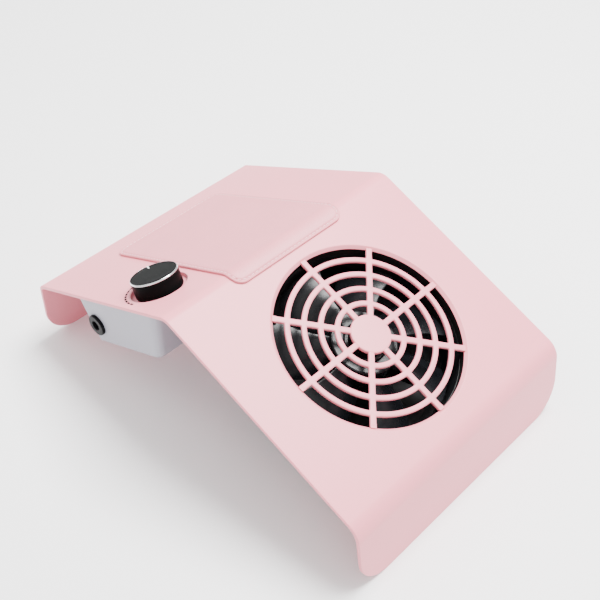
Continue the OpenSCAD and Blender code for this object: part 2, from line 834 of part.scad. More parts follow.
module jack_leads() {
    for (side = [-1, 1]) {
        start = [box_x0 + 15, jack_v + side * 2.2, -jack_depth];
        route = [start, start + [4, 0, 0], [-62, 80 + side, -18], [-51.3 + side * 0.9, 70, -15.5],
            [-50.4 + side * 0.9, 66, -17], [-50.4 + side * 0.9, 66, lead_top]];
        color(side < 0 ? "firebrick" : black) wire([for (p = route) rear_pt(p)], lead_r);
    }
}

module pot_leads() {
    for (k = [-1, 0, 1]) {
        start = [knob_x + 4 * k, knob_v + 11.9, can_back - 1.2];
        level = -16.5 + 1.4 * k;
        x_end = socket_places[1][0] + 1.4 * k;
        v_end = socket_places[1][1];
        route = [start, [start[0], start[1], level], [x_end, v_end, level], [x_end, v_end, level - 1.5],
            [x_end, v_end, lead_top]];
        color(k < 0 ? "gold" : k > 0 ? "seagreen" : "white") wire([for (p = route) rear_pt(p)], 0.5);
    }
}

top_shell();
hand_rest_pad();
intake_grille();
fan_frame();
fan_impeller();
rotor_yoke();
rotor_magnet();
fan_shaft();
shaft_clip();
sleeve_bearing();
stator_core();
stator_coils();
fan_circuit_board();
fan_leads();
fan_screws();
dust_bag();
bag_elastic();
control_box();
box_screws();
lead_grommet();
power_jack();
jack_nut();
jack_pin();
jack_leads();
pot_body();
pot_track();
pot_shaft();
pot_wiper();
pot_washer();
pot_nut();
pot_leads();
control_board();
board_capacitors();
board_inductor();
drive_transistor();
transistor_heat_sink();
controller_chip();
wire_sockets();
board_screws();
knob_body();
knob_trim_ring();
knob_pointer();
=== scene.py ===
import bmesh
import bpy
import numpy as np
from mathutils import Matrix, Vector


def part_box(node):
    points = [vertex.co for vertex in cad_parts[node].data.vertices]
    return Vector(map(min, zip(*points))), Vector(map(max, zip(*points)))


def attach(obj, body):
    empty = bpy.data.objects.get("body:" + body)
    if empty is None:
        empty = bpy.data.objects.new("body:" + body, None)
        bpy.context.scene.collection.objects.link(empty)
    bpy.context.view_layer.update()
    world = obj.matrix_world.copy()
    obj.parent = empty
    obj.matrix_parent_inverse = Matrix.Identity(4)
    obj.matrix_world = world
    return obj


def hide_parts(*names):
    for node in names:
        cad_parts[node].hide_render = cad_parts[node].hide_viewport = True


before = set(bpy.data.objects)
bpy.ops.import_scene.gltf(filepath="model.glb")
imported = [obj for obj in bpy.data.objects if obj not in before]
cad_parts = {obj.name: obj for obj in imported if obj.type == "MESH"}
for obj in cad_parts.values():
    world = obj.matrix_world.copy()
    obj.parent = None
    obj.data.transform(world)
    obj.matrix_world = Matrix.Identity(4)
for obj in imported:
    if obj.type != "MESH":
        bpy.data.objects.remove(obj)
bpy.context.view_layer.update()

# ---- Shell ----
# One sheet of pale pink plastic, 2.2 mm thick, bent over a ridge into two faces that end in upright feet.
# It is moulded in one piece with the round intake, the knob's recess and the bosses for the screws.
# All sizes below are in millimetres.

shell_low, shell_high = (np.array(corner) * 1000 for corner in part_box("top_shell"))
shell_half = shell_high[0]
shell_t = 2.2
foot_r = 21
shell_edge = 0.5
ridge = np.array([7.3, 103.7])
slope, rear = np.radians([22.7, 23.9])
slope_len, rear_len = 152.6, 142.5
bend_r = np.array([6, 11, 13.5])
outline = np.array([
    [shell_high[1], 0],
    ridge + rear_len * np.array([np.cos(rear), -np.sin(rear)]),
    ridge,
    ridge - slope_len * np.array([np.cos(slope), np.sin(slope)]),
    [shell_low[1], 0],
])
legs = np.diff(outline, axis=0)
leg_heading = np.unwrap(np.arctan2(legs[:, 1], legs[:, 0]))
bends = np.diff(leg_heading)
cut = bend_r * np.tan(bends / 2)
flats = np.hypot(*legs.T) - np.append(cut, 0) - np.append(0, cut)
knots = np.append(0, np.cumsum(np.column_stack([flats, np.append(bend_r * bends, 0)]).ravel())[:-1])
run = np.linspace(0, knots[-1], 20001)
run_heading = np.interp(run, knots, np.repeat(leg_heading, 2))
mid_heading = (run_heading[1:] + run_heading[:-1]) / 2
run_y = outline[0, 0] + run[1] * np.append(0, np.cumsum(np.cos(mid_heading)))
run_z = outline[0, 1] + run[1] * np.append(0, np.cumsum(np.sin(mid_heading)))
rear_start, slope_start = knots[3] + cut[1], knots[4] - cut[1]

intake_s = 75.6
intake_r = 57.5
chamfer = 1.8
slope_axes = np.array([[1, 0, 0], [0, np.cos(slope), np.sin(slope)], [0, -np.sin(slope), np.cos(slope)]])
rear_axes = np.array([[1, 0, 0], [0, np.cos(rear), -np.sin(rear)], [0, np.sin(rear), np.cos(rear)]])
ridge_point = np.append(0, ridge)
intake_point = ridge_point - intake_s * slope_axes[1]
dish_r, dish_depth, pan_t, pan_wall = 17.4, 2.5, 1.7, 1.8
bush_r = 3.5
knob_x, knob_v = -66, 39
knob_point = ridge_point + np.array([knob_x, knob_v, 0]) @ rear_axes


def skin(x, s, h):
    """A point of the bent sheet: x across it, s along its outer face from the rear foot's end, h over that
    face. The height is laid off square to the face's heading, and nothing goes below the table."""
    a = np.interp(s, run, run_heading)
    y = np.interp(s, run, run_y) + h * np.sin(a)
    z = np.interp(s, run, run_z) - h * np.cos(a)
    return np.stack(np.broadcast_arrays(x, y, np.maximum(z, 0)), -1)


def placed(points, origin, axes):
    """Points of a face's own frame, as points of the whole object: origin plus each number times its axis."""
    return origin + np.asarray(points, float) @ axes


def spaced(stops, counts):
    """Numbers from the first stop to the last, each stretch cut into its own count of equal steps."""
    parts = [np.linspace(a, b, n + 1) for a, b, n in zip(stops, stops[1:], counts)]
    return np.unique(np.concatenate(parts).round(6))


def grid_faces(rows, columns, wrap=False):
    """The quads of a grid of points, row by row; wrap joins its last column to its first."""
    index = np.arange(rows * columns).reshape(rows, columns)
    index = np.concatenate([index, index[:, :1]], 1) if wrap else index
    corners = [index[:-1, :-1], index[:-1, 1:], index[1:, 1:], index[1:, :-1]]
    return np.stack(corners, -1).reshape(-1, 4)


def tube(points):
    """A grid of points (rows, columns, 3) as a part whose last column joins its first."""
    return points.reshape(-1, 3), grid_faces(*points.shape[:2], wrap=True)


def moved(part, origin, axes):
    """A part of a face's own frame, laid into the whole object."""
    return placed(part[0], origin, axes), part[1]


def once_round(count):
    """Angles in equal steps once round."""
    return np.arange(count) * 2 * np.pi / count


def turns(count):
    """Axes turned about Z by equal steps once round."""
    c, s = np.cos(once_round(count)), np.sin(once_round(count))
    return np.moveaxis([[c, s, 0 * c], [-s, c, 0 * c], [0 * c, 0 * c, 0 * c + 1]], -1, 0)


def ring_of(i0, i1, j0, j1):
    """Rows and columns of the points round a block of a grid, in order."""
    i = [np.full(j1 - j0, i0), np.arange(i0, i1), np.full(j1 - j0, i1), np.arange(i1, i0, -1)]
    j = [np.arange(j0, j1), np.full(i1 - i0, j1), np.arange(j1, j0, -1), np.full(i1 - i0, j0)]
    return np.concatenate(i), np.concatenate(j)


def eased(corners, radius, steps=4, closed=False):
    """An outline whose corners are each swapped for the curve (1-t)^2 a + 2t(1-t) c + t^2 b, which leaves one
    side at a, a radius before the corner c, and joins the next at b, a radius after it."""
    c = np.array(corners, float)
    r = np.broadcast_to(radius, len(c))[:, None]
    before, after = np.roll(c, 1, 0) - c, np.roll(c, -1, 0) - c
    a = c + r * before / np.linalg.norm(before, axis=1, keepdims=True)
    b = c + r * after / np.linalg.norm(after, axis=1, keepdims=True)
    t = np.linspace(0, 1, steps + 1)[None, :, None]
    curve = (1 - t) ** 2 * a[:, None] + 2 * t * (1 - t) * c[:, None] + t**2 * b[:, None]
    if closed:
        return curve.reshape(-1, c.shape[1])
    return np.concatenate([c[:1], curve[1:-1].reshape(-1, c.shape[1]), c[-1:]])


def circles(profile, angle):
    """Rings of points on a frame's Z axis, one for each (radius, height) of the profile."""
    r, z = np.array(profile, float).T[:, :, None]
    return np.stack([r * np.cos(angle), r * np.sin(angle), z + 0 * angle], -1)


def turned(profile, steps=96, origin=(0, 0, 0), axes=np.eye(3)):
    """A profile of (radius, height) carried once round an axis; ends on the axis close in a pole."""
    return moved(tube(circles(profile, once_round(steps))), origin, axes)


def ring_solid(corners, radius, steps=96, origin=(0, 0, 0), axes=np.eye(3), ease_steps=4):
    """A closed (radius, height) outline with eased corners, carried once round an axis."""
    profile = eased(corners, radius, ease_steps, closed=True)
    return turned(np.concatenate([profile, profile[:1]]), steps, origin, axes)


def hole_strip(loop, under_loop, origin, axes, profile, rings):
    """From a closed ring of points on a plate's face straight in to a circle, on through a profile of
    (radius, height), and straight out to the same ring on the other face."""
    local = (loop - origin) @ axes.T
    round_hole = placed(circles(profile, np.arctan2(local[:, 1], local[:, 0])), origin, axes)
    w = np.linspace(0, 1, rings + 1)[:, None, None]
    inward = loop * (1 - w[:-1]) + round_hole[0] * w[:-1]
    outward = round_hole[-1] * (1 - w[1:]) + under_loop * w[1:]
    return tube(np.concatenate([inward, round_hole, outward]))


def rounded_plan(x, s, half_x, half_s, r):
    """A rectangle's grid with its corners drawn in to arcs: inside a corner square, the shares u and v become
    u sqrt(1 - v^2/2) and v sqrt(1 - u^2/2). Also gives the direction straight out at each point of the
    edge."""
    u = np.clip((abs(x) - half_x + r) / r, 0, 1)
    v = np.clip((abs(s) - half_s + r) / r, 0, 1)
    x = np.sign(x) * (abs(x) - u * r + u * r * np.sqrt(1 - v * v / 2))
    s = np.sign(s) * (abs(s) - v * r + v * r * np.sqrt(1 - u * u / 2))
    out = np.stack([np.sign(x) * np.clip(abs(x) - half_x + r, 0, None),
                    np.sign(s) * np.clip(abs(s) - half_s + r, 0, None)])
    out /= np.maximum(np.hypot(*out), 1e-9)
    return x, s, *out


def slab(x_lines, s_lines, corner_r, edge_r, place, top, under, holes=()):
    """A plate over a grid of lines, as parts: two faces at the heights top and under, and a rim that leaves
    each face as a quarter circle. A hole is (rows and columns of its block, origin, axes, profile, rings)."""
    x_mid, s_mid = (x_lines[0] + x_lines[-1]) / 2, (s_lines[0] + s_lines[-1]) / 2
    x, s = np.meshgrid(x_lines - x_mid, s_lines - s_mid)
    x, s, out_x, out_s = rounded_plan(x, s, x.max(), s.max(), corner_r - edge_r)
    high, low = top(x, s) + 0 * x, under(x, s) + 0 * x
    faces_up, faces_down = place(x + x_mid, s + s_mid, high), place(x + x_mid, s + s_mid, low)
    keep = np.ones((len(s_lines) - 1, len(x_lines) - 1), bool)
    parts = []
    for block, origin, axes, profile, rings in holes:
        keep[block[0]:block[1], block[2]:block[3]] = False
        loop = ring_of(*block)
        parts.append(hole_strip(faces_up[loop], faces_down[loop], origin, axes, profile, rings))
    quads = grid_faces(*x.shape)[keep.ravel()]
    edge = ring_of(0, x.shape[0] - 1, 0, x.shape[1] - 1)
    a = np.linspace(0, np.pi / 2, 6)[:, None]
    out = edge_r * np.concatenate([np.sin(a), np.cos(a)])
    height = np.concatenate([high[edge] - edge_r * (1 - np.cos(a)), low[edge] + edge_r * (1 - np.sin(a))])
    rim = place(x[edge] + x_mid + out * out_x[edge], s[edge] + s_mid + out * out_s[edge], height)
    parts.append(tube(rim))
    return parts + [(faces_up.reshape(-1, 3), quads), (faces_down.reshape(-1, 3), quads)]


def many(part, origins, axes):
    """Copies of one part, one for each origin and its axes."""
    points, faces = part
    copies = np.asarray(origins, float)[:, None] + np.asarray(points) @ axes
    shift = len(points) * np.arange(len(copies))[:, None, None]
    return copies.reshape(-1, 3), (np.asarray(faces) + shift).reshape(-1, np.shape(faces)[1])


def make_piece(name, parts, body, finish, stands_for=(), sharp_deg=40, weighted=True):
    """Joins parts, each (points in millimetres, faces), into one piece in metres that rides on a body. Points
    that meet become one, faces turn outwards, and an edge stays sharp where it bends more than sharp_deg."""
    starts = np.cumsum([0] + [len(points) for points, faces in parts[:-1]])
    points = np.concatenate([points for points, faces in parts]) * 0.001
    faces = [row for (_, faces), start in zip(parts, starts) for row in (np.asarray(faces) + start).tolist()]
    mesh = bpy.data.meshes.new(name)
    mesh.from_pydata(points.tolist(), [], faces)
    bm = bmesh.new()
    bm.from_mesh(mesh)
    bmesh.ops.remove_doubles(bm, verts=bm.verts, dist=3e-6)
    bmesh.ops.dissolve_degenerate(bm, edges=bm.edges, dist=1e-7)
    bmesh.ops.recalc_face_normals(bm, faces=bm.faces)
    bm.to_mesh(mesh)
    bm.free()
    mesh.polygons.foreach_set("use_smooth", np.ones(len(mesh.polygons), bool))
    mesh.set_sharp_from_angle(angle=np.radians(sharp_deg))
    mesh.materials.append(finish)
    piece = bpy.data.objects.new(name, mesh)
    bpy.context.scene.collection.objects.link(piece)
    if weighted:
        even = piece.modifiers.new("even_shading", "WEIGHTED_NORMAL")
        even.keep_sharp = True
        even.weight = 80
    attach(piece, body)
    if stands_for:
        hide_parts(*stands_for)
    return piece


def add_nodes(material, *kinds):
    """New nodes of these kinds in a material."""
    return [material.node_tree.nodes.new("ShaderNode" + kind) for kind in kinds]


def nodes_of(material, *names):
    """A material's nodes that have these names."""
    return [material.node_tree.nodes[name] for name in names]


def set_inputs(node, **values):
    """Sets a node's inputs by their names, in which _ stands for a space."""
    for socket, value in values.items():
        node.inputs[socket.replace("_", " ")].default_value = value


def wire(material, *rows):
    """Links sockets; each row is a node, its output, the next node and its input."""
    for source, output, target, socket in rows:
        material.node_tree.links.new(source.outputs[output], target.inputs[socket])


def recoloured(material, mix):
    """Puts a colour mix between a finish's own colour and its shader."""
    shader, = nodes_of(material, "Principled BSDF")
    own = shader.inputs["Base Color"].links[0].from_socket
    material.node_tree.links.new(own, mix.inputs["Color1"])
    wire(material, (mix, "Color", shader, "Base Color"))
    return material


def plastic(name, colour, rough, mottle=0.04, mottle_scale=60, grain_scale=900, grain=0.00002,
            grain_strength=0.3,
            rough_spread=0.05, **sockets):
    """A moulded finish on Object coordinates. Cloudy noise moves the colour between two close shades and the
    roughness with it; a finer noise lies in the surface as grain of a height in metres."""
    material = bpy.data.materials.new(name)
    material.use_nodes = True
    shader, = nodes_of(material, "Principled BSDF")
    place, cloud, shades, gloss, fine, bump = add_nodes(
        material, "TexCoord", "TexNoise", "ValToRGB", "MapRange", "TexNoise", "Bump")
    set_inputs(cloud, Scale=mottle_scale, Detail=4)
    set_inputs(fine, Scale=grain_scale, Detail=3)
    set_inputs(gloss, To_Min=rough - rough_spread, To_Max=rough + rough_spread)
    set_inputs(bump, Distance=grain, Strength=grain_strength)
    set_inputs(shader, **sockets)
    shade, (dark, light) = np.array(colour), shades.color_ramp.elements
    dark.position, light.position = 0.3, 0.7
    dark.color, light.color = (*shade * (1 - mottle), 1), (*np.minimum(shade * (1 + mottle), 1), 1)
    wire(material, (place, "Object", cloud, "Vector"), (place, "Object", fine, "Vector"),
         (cloud, "Fac", shades, "Fac"), (shades, "Color", shader, "Base Color"),
         (cloud, "Fac", gloss, "Value"),
         (gloss, "Result", shader, "Roughness"), (fine, "Fac", bump, "Height"),
         (bump, "Normal", shader, "Normal"))
    return material


shell_pink = (0.84, 0.275, 0.33)
pink_plastic = plastic("pink_plastic", shell_pink, 0.30, mottle=0.015, mottle_scale=18, grain_scale=1400,
                       grain=0.000015, grain_strength=0.35, Specular_IOR_Level=0.22)

dish_half = 22
patch_half = 66
intake_at = slope_start + intake_s
dish_at = rear_start - knob_v
x_lines = spaced([-shell_half + shell_edge, knob_x - dish_half, knob_x + dish_half, patch_half,
                  shell_half - shell_edge], [3, 32, 55, 18])
s_lines = spaced([shell_edge, foot_r, *knots[1:3], dish_at - dish_half, dish_at + dish_half, *knots[3:5],
                  intake_at - patch_half, intake_at + patch_half, *knots[5:7], knots[7] - foot_r,
                  knots[7] - shell_edge], [15, 6, 12, 24, 32, 4, 18, 2, 66, 2, 20, 5, 15])


def block_of(s_range, x_range):
    """Rows and columns of the grid's lines that bound a block."""
    return (*np.searchsorted(s_lines, np.round(s_range, 6)), *np.searchsorted(x_lines, np.round(x_range, 6)))


intake_edge = eased([[intake_r + chamfer + 1.2, 0], [intake_r + chamfer, 0], [intake_r, -chamfer],
                     [intake_r, -shell_t], [intake_r + 1, -shell_t]], [0, 0.4, 0.15, 0.12, 0])
dish_edge = eased([[dish_r + 1, 0], [dish_r, 0], [dish_r - 0.15, -dish_depth], [bush_r + 0.1, -dish_depth],
                   [bush_r + 0.1, -dish_depth - pan_t], [dish_r + pan_wall, -dish_depth - pan_t],
                   [dish_r + pan_wall, -shell_t], [dish_r + pan_wall + 0.4, -shell_t]],
                  [0, 0.6, 0.9, 0.1, 0.1, 0.5, 0.02, 0])
shell_parts = slab(x_lines, s_lines, foot_r, shell_edge, skin, lambda x, s: 0, lambda x, s: -shell_t, holes=[
    (block_of([intake_at - patch_half, intake_at + patch_half], [-patch_half, patch_half]),
     intake_point, slope_axes, intake_edge, 5),
    (block_of([dish_at - dish_half, dish_at + dish_half], [knob_x - dish_half, knob_x + dish_half]),
     knob_point, rear_axes, dish_edge, 5)])

fan_gap, fan_pitch = 8, 105
corner_signs = np.array([[-1, -1], [1, -1], [1, 1], [-1, 1]])
fan_corners = np.column_stack([corner_signs * fan_pitch / 2, np.zeros(4)])
fan_boss = ring_solid([[2, -fan_gap], [4.5, -fan_gap], [4.5, -1.2], [2, -1.2]], [0.25, 0.4, 0.1, 0.1], 48)
box_boss_at = np.array([[-82.5, 36.5, 0], [-9.5, 36.5, 0], [-9.5, 89, 0], [-58, 89, 0]])
box_boss_top = np.array([-dish_depth - 0.9, -1.2, -1.2, -1.2])
shell_parts.append(many((fan_boss[0] @ slope_axes, fan_boss[1]),
                        placed(fan_corners, intake_point, slope_axes),
                        np.eye(3)))
for at, boss_top in zip(placed(box_boss_at, ridge_point, rear_axes), box_boss_top):
    shell_parts.append(ring_solid([[1.25, -32.3], [3.6, -32.3], [3.6, boss_top], [1.25, boss_top]],
                                  [0.2, 0.3, 0.1, 0.1], 48, at, rear_axes))
make_piece("shell", shell_parts, "housing", pink_plastic, ["top_shell"])

# ---- Intake guard ----
# A round guard of the same pink plastic: a hub disc, four rings and eight spokes, whose tips lie on the
# opening's chamfer. Short arms under the tips carry a black collar that seals the gap down to the fan.

guard_top, guard_t = -0.3, 2.4
guard_edge = 0.95
hub_disc_r = 12.4
ring_radii = np.array([20, 29.8, 39.6, 49.4])
ring_w, spoke_w, spokes = 3.2, 3.6, 8
spoke_end = intake_r - 0.15
window_steps = 16


def guard_plan():
    """The guard seen from above, as points and quads. On each radius r a spoke's sides stand at asin(w/2r)
    from its middle, and the window between two spokes is cut into equal angles. Quads stay on rings and
    spokes."""
    ring_edges = np.column_stack([ring_radii - ring_w / 2, ring_radii + ring_w / 2])
    stops = np.concatenate([[hub_disc_r - 1.2], ring_edges.ravel(), [spoke_end]])
    radii = spaced(stops, [3, 2, 3, 2, 3, 2, 3, 2, 3])[:, None]
    across = np.arcsin(np.linspace(-0.5, 0.5, 4)[None, :] * spoke_w / radii)
    share = np.linspace(0, 1, window_steps + 1)[None, 1:-1]
    sector = 2 * np.pi / spokes
    window = across[:, -1:] * (1 - share) + (sector + across[:, :1]) * share
    angle = np.concatenate([across, window], 1)
    angle = (angle[:, None, :] + sector * np.arange(spokes)[None, :, None]).reshape(len(radii), -1)
    points = np.stack([radii * np.cos(angle), radii * np.sin(angle), 0 * angle], -1)
    mid = (radii[1:] + radii[:-1]) / 2
    on_ring = (abs(mid - ring_radii) < ring_w / 2).any(1)[:, None]
    on_spoke = (np.arange(angle.shape[1]) % (window_steps + 3) < 3)[None, :]
    return points.reshape(-1, 3), grid_faces(*angle.shape, wrap=True)[(on_ring | on_spoke).ravel()]


def soft_edged(piece, thickness, edge, segments=3, limit_deg=35):
    """Gives a flat piece its thickness downwards and rounds every edge sharper than limit_deg."""
    wall = piece.modifiers.new("thickness", "SOLIDIFY")
    wall.thickness, wall.offset = thickness * 0.001, -1
    ease = piece.modifiers.new("rounded_edges", "BEVEL")
    ease.width, ease.segments, ease.limit_method = edge * 0.001, segments, "ANGLE"
    ease.angle_limit = np.radians(limit_deg)
    return piece


bars, bar_quads = guard_plan()
guard = make_piece("intake_guard", [(placed(bars + [0, 0, guard_top], intake_point, slope_axes), bar_quads)],
                   "housing", pink_plastic, ["intake_grille"], weighted=False)
soft_edged(guard, guard_t, guard_edge)

hub = turned(eased([[0, guard_top + 0.25], [hub_disc_r, guard_top + 0.1], [hub_disc_r, guard_top - guard_t],
                    [0, guard_top - guard_t]], [0, 1.0, 0.4, 0], 6), 96, intake_point, slope_axes)
collar = ring_solid([[57.6, -7.95], [60.6, -7.95], [60.6, -2.25], [57.6, -2.25]], [0.4, 0.4, 0.2, 0.2], 160,
                    intake_point, slope_axes)


def rounded_bar(x0, x1, half_w, z0, z1, edge, steps=3):
    """A straight bar along X with eased edges: its eased (y, z) section stands at each end, and smaller
    copies of the section close it."""
    section = eased([[-half_w, z0], [half_w, z0], [half_w, z1], [-half_w, z1]], edge, steps, closed=True)
    middle = section.mean(0)
    inset = np.array([1, edge / half_w * 0.6, 0, 0, edge / half_w * 0.6, 1])
    x = np.array([x0, x0, x0 + edge, x1 - edge, x1, x1])
    yz = section[None] * (1 - inset)[:, None, None] + middle * inset[:, None, None]
    points = np.concatenate([np.broadcast_to(x[:, None, None], (6, len(section), 1)), yz], -1)
    return tube(points)


def round_hub(part):
    """Eight copies of a part that lies along X, turned to the spokes and laid in the intake."""
    return moved(many(part, np.zeros((spokes, 3)), turns(spokes)), intake_point, slope_axes)


guard_tips = round_hub(rounded_bar(55.5, intake_r + 0.6, spoke_w / 2, guard_top - 0.85, guard_top - 0.02,
                                   0.3))
guard_arms = [round_hub(rounded_bar(55, intake_r - 0.15, spoke_w / 2 - 0.1, -5.0, guard_top - 2.0, 0.25)),
              round_hub(rounded_bar(56, intake_r + 1.5, spoke_w / 2 - 0.1, -5.0, -2.5, 0.25))]
make_piece("guard_hub_and_tips", [hub, guard_tips], "housing", pink_plastic, ["intake_grille"])
foam_black = plastic("foam_black", (0.006, 0.006, 0.006), 0.85, mottle=0.3, mottle_scale=900,
                     grain_scale=1500,
                     grain=0.0002, grain_strength=0.9, Specular_IOR_Level=0.15)
make_piece("gap_seal", [collar, *guard_arms], "housing", foam_black, ["intake_grille"])

# ---- Hand rest ----
# A thin pad of pink leather laid over the ridge and glued down, with a soft filling of under 2 mm.
# One row of stitches runs just inside its edge and draws the leather in; a needle hole lies between each two,
# and its darkness is painted shadow.

rest_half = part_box("hand_rest_pad")[1][0] * 1000
rest_t = 1.75
rest_corner_r = 8
rest_front, rest_rear = slope_start + 9.5, rear_start - 119
rest_middle, rest_half_len = (rest_front + rest_rear) / 2, (rest_front - rest_rear) / 2
rest_round = 0.7
seam_in = 1.75
stitch_pitch = 3.1


def edge_distance(x, s, half_x, half_s, r):
    """How far a point of a rounded rectangle lies inside its edge."""
    qx, qs = abs(x) - half_x + r, abs(s) - half_s + r
    return r - np.hypot(np.maximum(qx, 0), np.maximum(qs, 0)) - np.minimum(np.maximum(qx, qs), 0)


def rest_height(x, s):
    """The pad's thickness: full in the middle, falling as a round to its edge, pulled down along the seam by
    exp(-(d/w)^2) and a little more at each stitch, with slow waves of a twentieth of a millimetre."""
    d = edge_distance(x, s, rest_half, rest_half_len, rest_corner_r)
    along = np.where(rest_half - abs(x) < rest_half_len - abs(s), s, x)
    pull = np.exp(-((d - seam_in) / 0.62) ** 2)
    puff = 0.12 * np.exp(-((d - seam_in - 2.8) / 2.0) ** 2)
    waves = 0.05 * np.sin(x / 9 + 0.8 * np.sin(s / 14)) * np.sin(s / 11 + 1.1) * np.clip(d / 12, 0, 1)
    nick = 0.14 * np.cos(2 * np.pi * along / stitch_pitch)
    return rest_t - 0.15 + puff + waves - pull * (0.5 + nick)


def leather(name, colour, rough, pebble_scale=1500, pebble=0.00006):
    """Soft leather on Object coordinates: rounded cells from a Voronoi pattern stand between fine creases,
    which are a little duller and darkened as painted shade, over slow random changes of tone."""
    material = plastic(name, colour, rough, mottle=0.03, mottle_scale=30, grain_scale=4000)
    cells, crease, crease_painted_shade, darken = add_nodes(material, "TexVoronoi", "MapRange", "ValToRGB", "MixRGB")
    place, bump = nodes_of(material, "Texture Coordinate", "Bump")
    cells.feature, darken.blend_type = "DISTANCE_TO_EDGE", "MULTIPLY"
    set_inputs(cells, Scale=pebble_scale)
    set_inputs(crease, From_Max=0.22)
    set_inputs(darken, Fac=1)
    set_inputs(bump, Distance=pebble, Strength=0.45)
    # The creases' colour is cut to 86 per cent: painted shade in the creases.
    crease_painted_shade.color_ramp.elements[0].color = (0.86, 0.83, 0.84, 1)
    wire(material, (place, "Object", cells, "Vector"), (cells, "Distance", crease, "Value"),
         (crease, "Result", crease_painted_shade, "Fac"), (crease_painted_shade, "Color", darken, "Color2"),
         (crease, "Result", bump, "Height"))
    return recoloured(material, darken)


rest_lines = [spaced([-half + rest_round, -half + 5.4, half - 5.4, half - rest_round], [13, middle, 13])
              for half, middle in ((rest_half, 56), (rest_half_len, 90))]
hand_rest = make_piece(
    "hand_rest", slab(rest_lines[0], rest_lines[1] + rest_middle, rest_corner_r, rest_round, skin,
                      rest_height,
                      lambda x, s: 0.03),
    "housing", leather("rest_leather", (0.80, 0.265, 0.315), 0.46), ["hand_rest_pad"],
    sharp_deg=60, weighted=False)


def resampled(line, count, closed=True):
    """Points at even steps along a line."""
    line = np.concatenate([line, line[:1]]) if closed else line
    length = np.append(0, np.cumsum(np.linalg.norm(np.diff(line, axis=0), axis=1)))
    at = np.linspace(0, length[-1], count + 1)[:-1] if closed else np.linspace(0, length[-1], count)
    return np.stack([np.interp(at, length, axis) for axis in line.T], -1)


def unit(v):
    """Vectors at length one."""
    return v / np.maximum(np.linalg.norm(v, axis=-1, keepdims=True), 1e-12)


def swept(path, section, side, closed=False):
    """A closed (across, up) section carried along a path: across lies square to the path and to side's normal
    part, up completes the frame. The ends are closed in a pole."""
    path = np.asarray(path, float)
    ahead = unit(np.roll(path, -1, 0) - np.roll(path, 1, 0) if closed else np.gradient(path, axis=0))
    up = unit(side - (side * ahead).sum(1, keepdims=True) * ahead)
    over = np.cross(ahead, up)
    section = np.asarray(section, float)
    points = path[:, None] + section[..., :1] * over[:, None] + section[..., 1:] * up[:, None]
    if closed:
        points = np.concatenate([points, points[:1]])
    else:
        ends = [np.broadcast_to(p.mean(0), (1, *p.shape)) for p in (points[0], points[-1])]
        points = np.concatenate([ends[0], points, ends[1]])
    return tube(points)


def round_section(r, sides=12):
    """A circle's points."""
    a = once_round(sides)
    return r * np.column_stack([np.cos(a), np.sin(a)])


seam_half, seam_half_len, seam_r = rest_half - seam_in, rest_half_len - seam_in, rest_corner_r - seam_in
seam = eased(corner_signs * [seam_half, seam_half_len], seam_r * 1.25, 8, closed=True)
seam_len = np.linalg.norm(np.diff(np.concatenate([seam, seam[:1]]), axis=0), axis=1).sum()
stitch_count = int(seam_len / stitch_pitch)
seam_points = resampled(seam, stitch_count)
seam_ahead = unit(np.roll(seam_points, -1, 0) - np.roll(seam_points, 1, 0))
stitch_half = 1.05
stitch_share = np.array([-1.0, -0.85, -0.45, 0, 0.45, 0.85, 1.0])
stitch_at = seam_points[:, None] + stitch_half * stitch_share[:, None] * seam_ahead[:, None]
stitch_x, stitch_s = stitch_at[..., 0], stitch_at[..., 1] + rest_middle
stitch_line = skin(stitch_x, stitch_s, rest_t - 0.60 + 0.22 * (1 - stitch_share**2))
stitch_up = unit(skin(stitch_x, stitch_s, 1.0) - skin(stitch_x, stitch_s, 0.0))
stitch_over = np.cross(unit(np.gradient(stitch_line, axis=1)), stitch_up)
thread_r = 0.25 * np.sqrt(np.clip(1 - stitch_share**6, 0, 1))[:, None, None]
thread = round_section(1, 8)
threads = (stitch_line[:, :, None] + thread_r * thread[:, :1] * stitch_over[:, :, None]
           + thread_r * thread[:, 1:] * stitch_up[:, :, None])
stitch_faces = grid_faces(len(stitch_share), 8, wrap=True)
stitch_faces = (stitch_faces + 8 * len(stitch_share) * np.arange(stitch_count)[:, None, None]).reshape(-1, 4)
stitch_thread = plastic("stitch_thread", (0.90, 0.60, 0.64), 0.62, mottle=0.08, mottle_scale=2500,
                        grain_scale=6000, grain=0.00008, grain_strength=0.8, Sheen_Weight=0.3)
make_piece("hand_rest_stitches", [(threads.reshape(-1, 3), stitch_faces)], "housing",
           stitch_thread, sharp_deg=80, weighted=False)
hole_points = seam_points + np.roll(seam_points, -1, 0)
hole_ahead = unit(np.roll(hole_points, -1, 0) - np.roll(hole_points, 1, 0))
hole_a = once_round(12)
hole_r = np.array([0.0, 0.7, 1.0, 0.8, 0.0])[:, None]
hole_drop = np.array([0.0, 0.0, -0.06, -0.3, -0.3])[:, None]
hole_at = (hole_points / 2)[:, None, None] + (
    (hole_r * 0.60 * np.cos(hole_a))[None, :, :, None] * hole_ahead[:, None, None]
    + (hole_r * 0.42 * np.sin(hole_a))[None, :, :, None] * (hole_ahead @ [[0, 1], [-1, 0]])[:, None, None])
needle_holes = skin(hole_at[..., 0], hole_at[..., 1] + rest_middle,
                    (rest_t - 0.66 + hole_drop + 0 * hole_a)[None])
hole_faces = (grid_faces(5, 12, wrap=True) + 60 * np.arange(stitch_count)[:, None, None]).reshape(-1, 4)
# The holes' dark colour is painted shadow inside each needle hole.
make_piece("needle_holes", [(needle_holes.reshape(-1, 3), hole_faces)], "housing",
           plastic("needle_hole_painted_shadow", (0.10, 0.026, 0.032), 0.8, mottle=0.15, mottle_scale=900,
                   Specular_IOR_Level=0.1), sharp_deg=60, weighted=False)

# ---- Fan frame ----
# The black moulded frame of a 120 mm axial fan: two square flanges joined by a round duct, four screw posts,
# and at the back four struts that carry the motor's mount and the bearing tube.

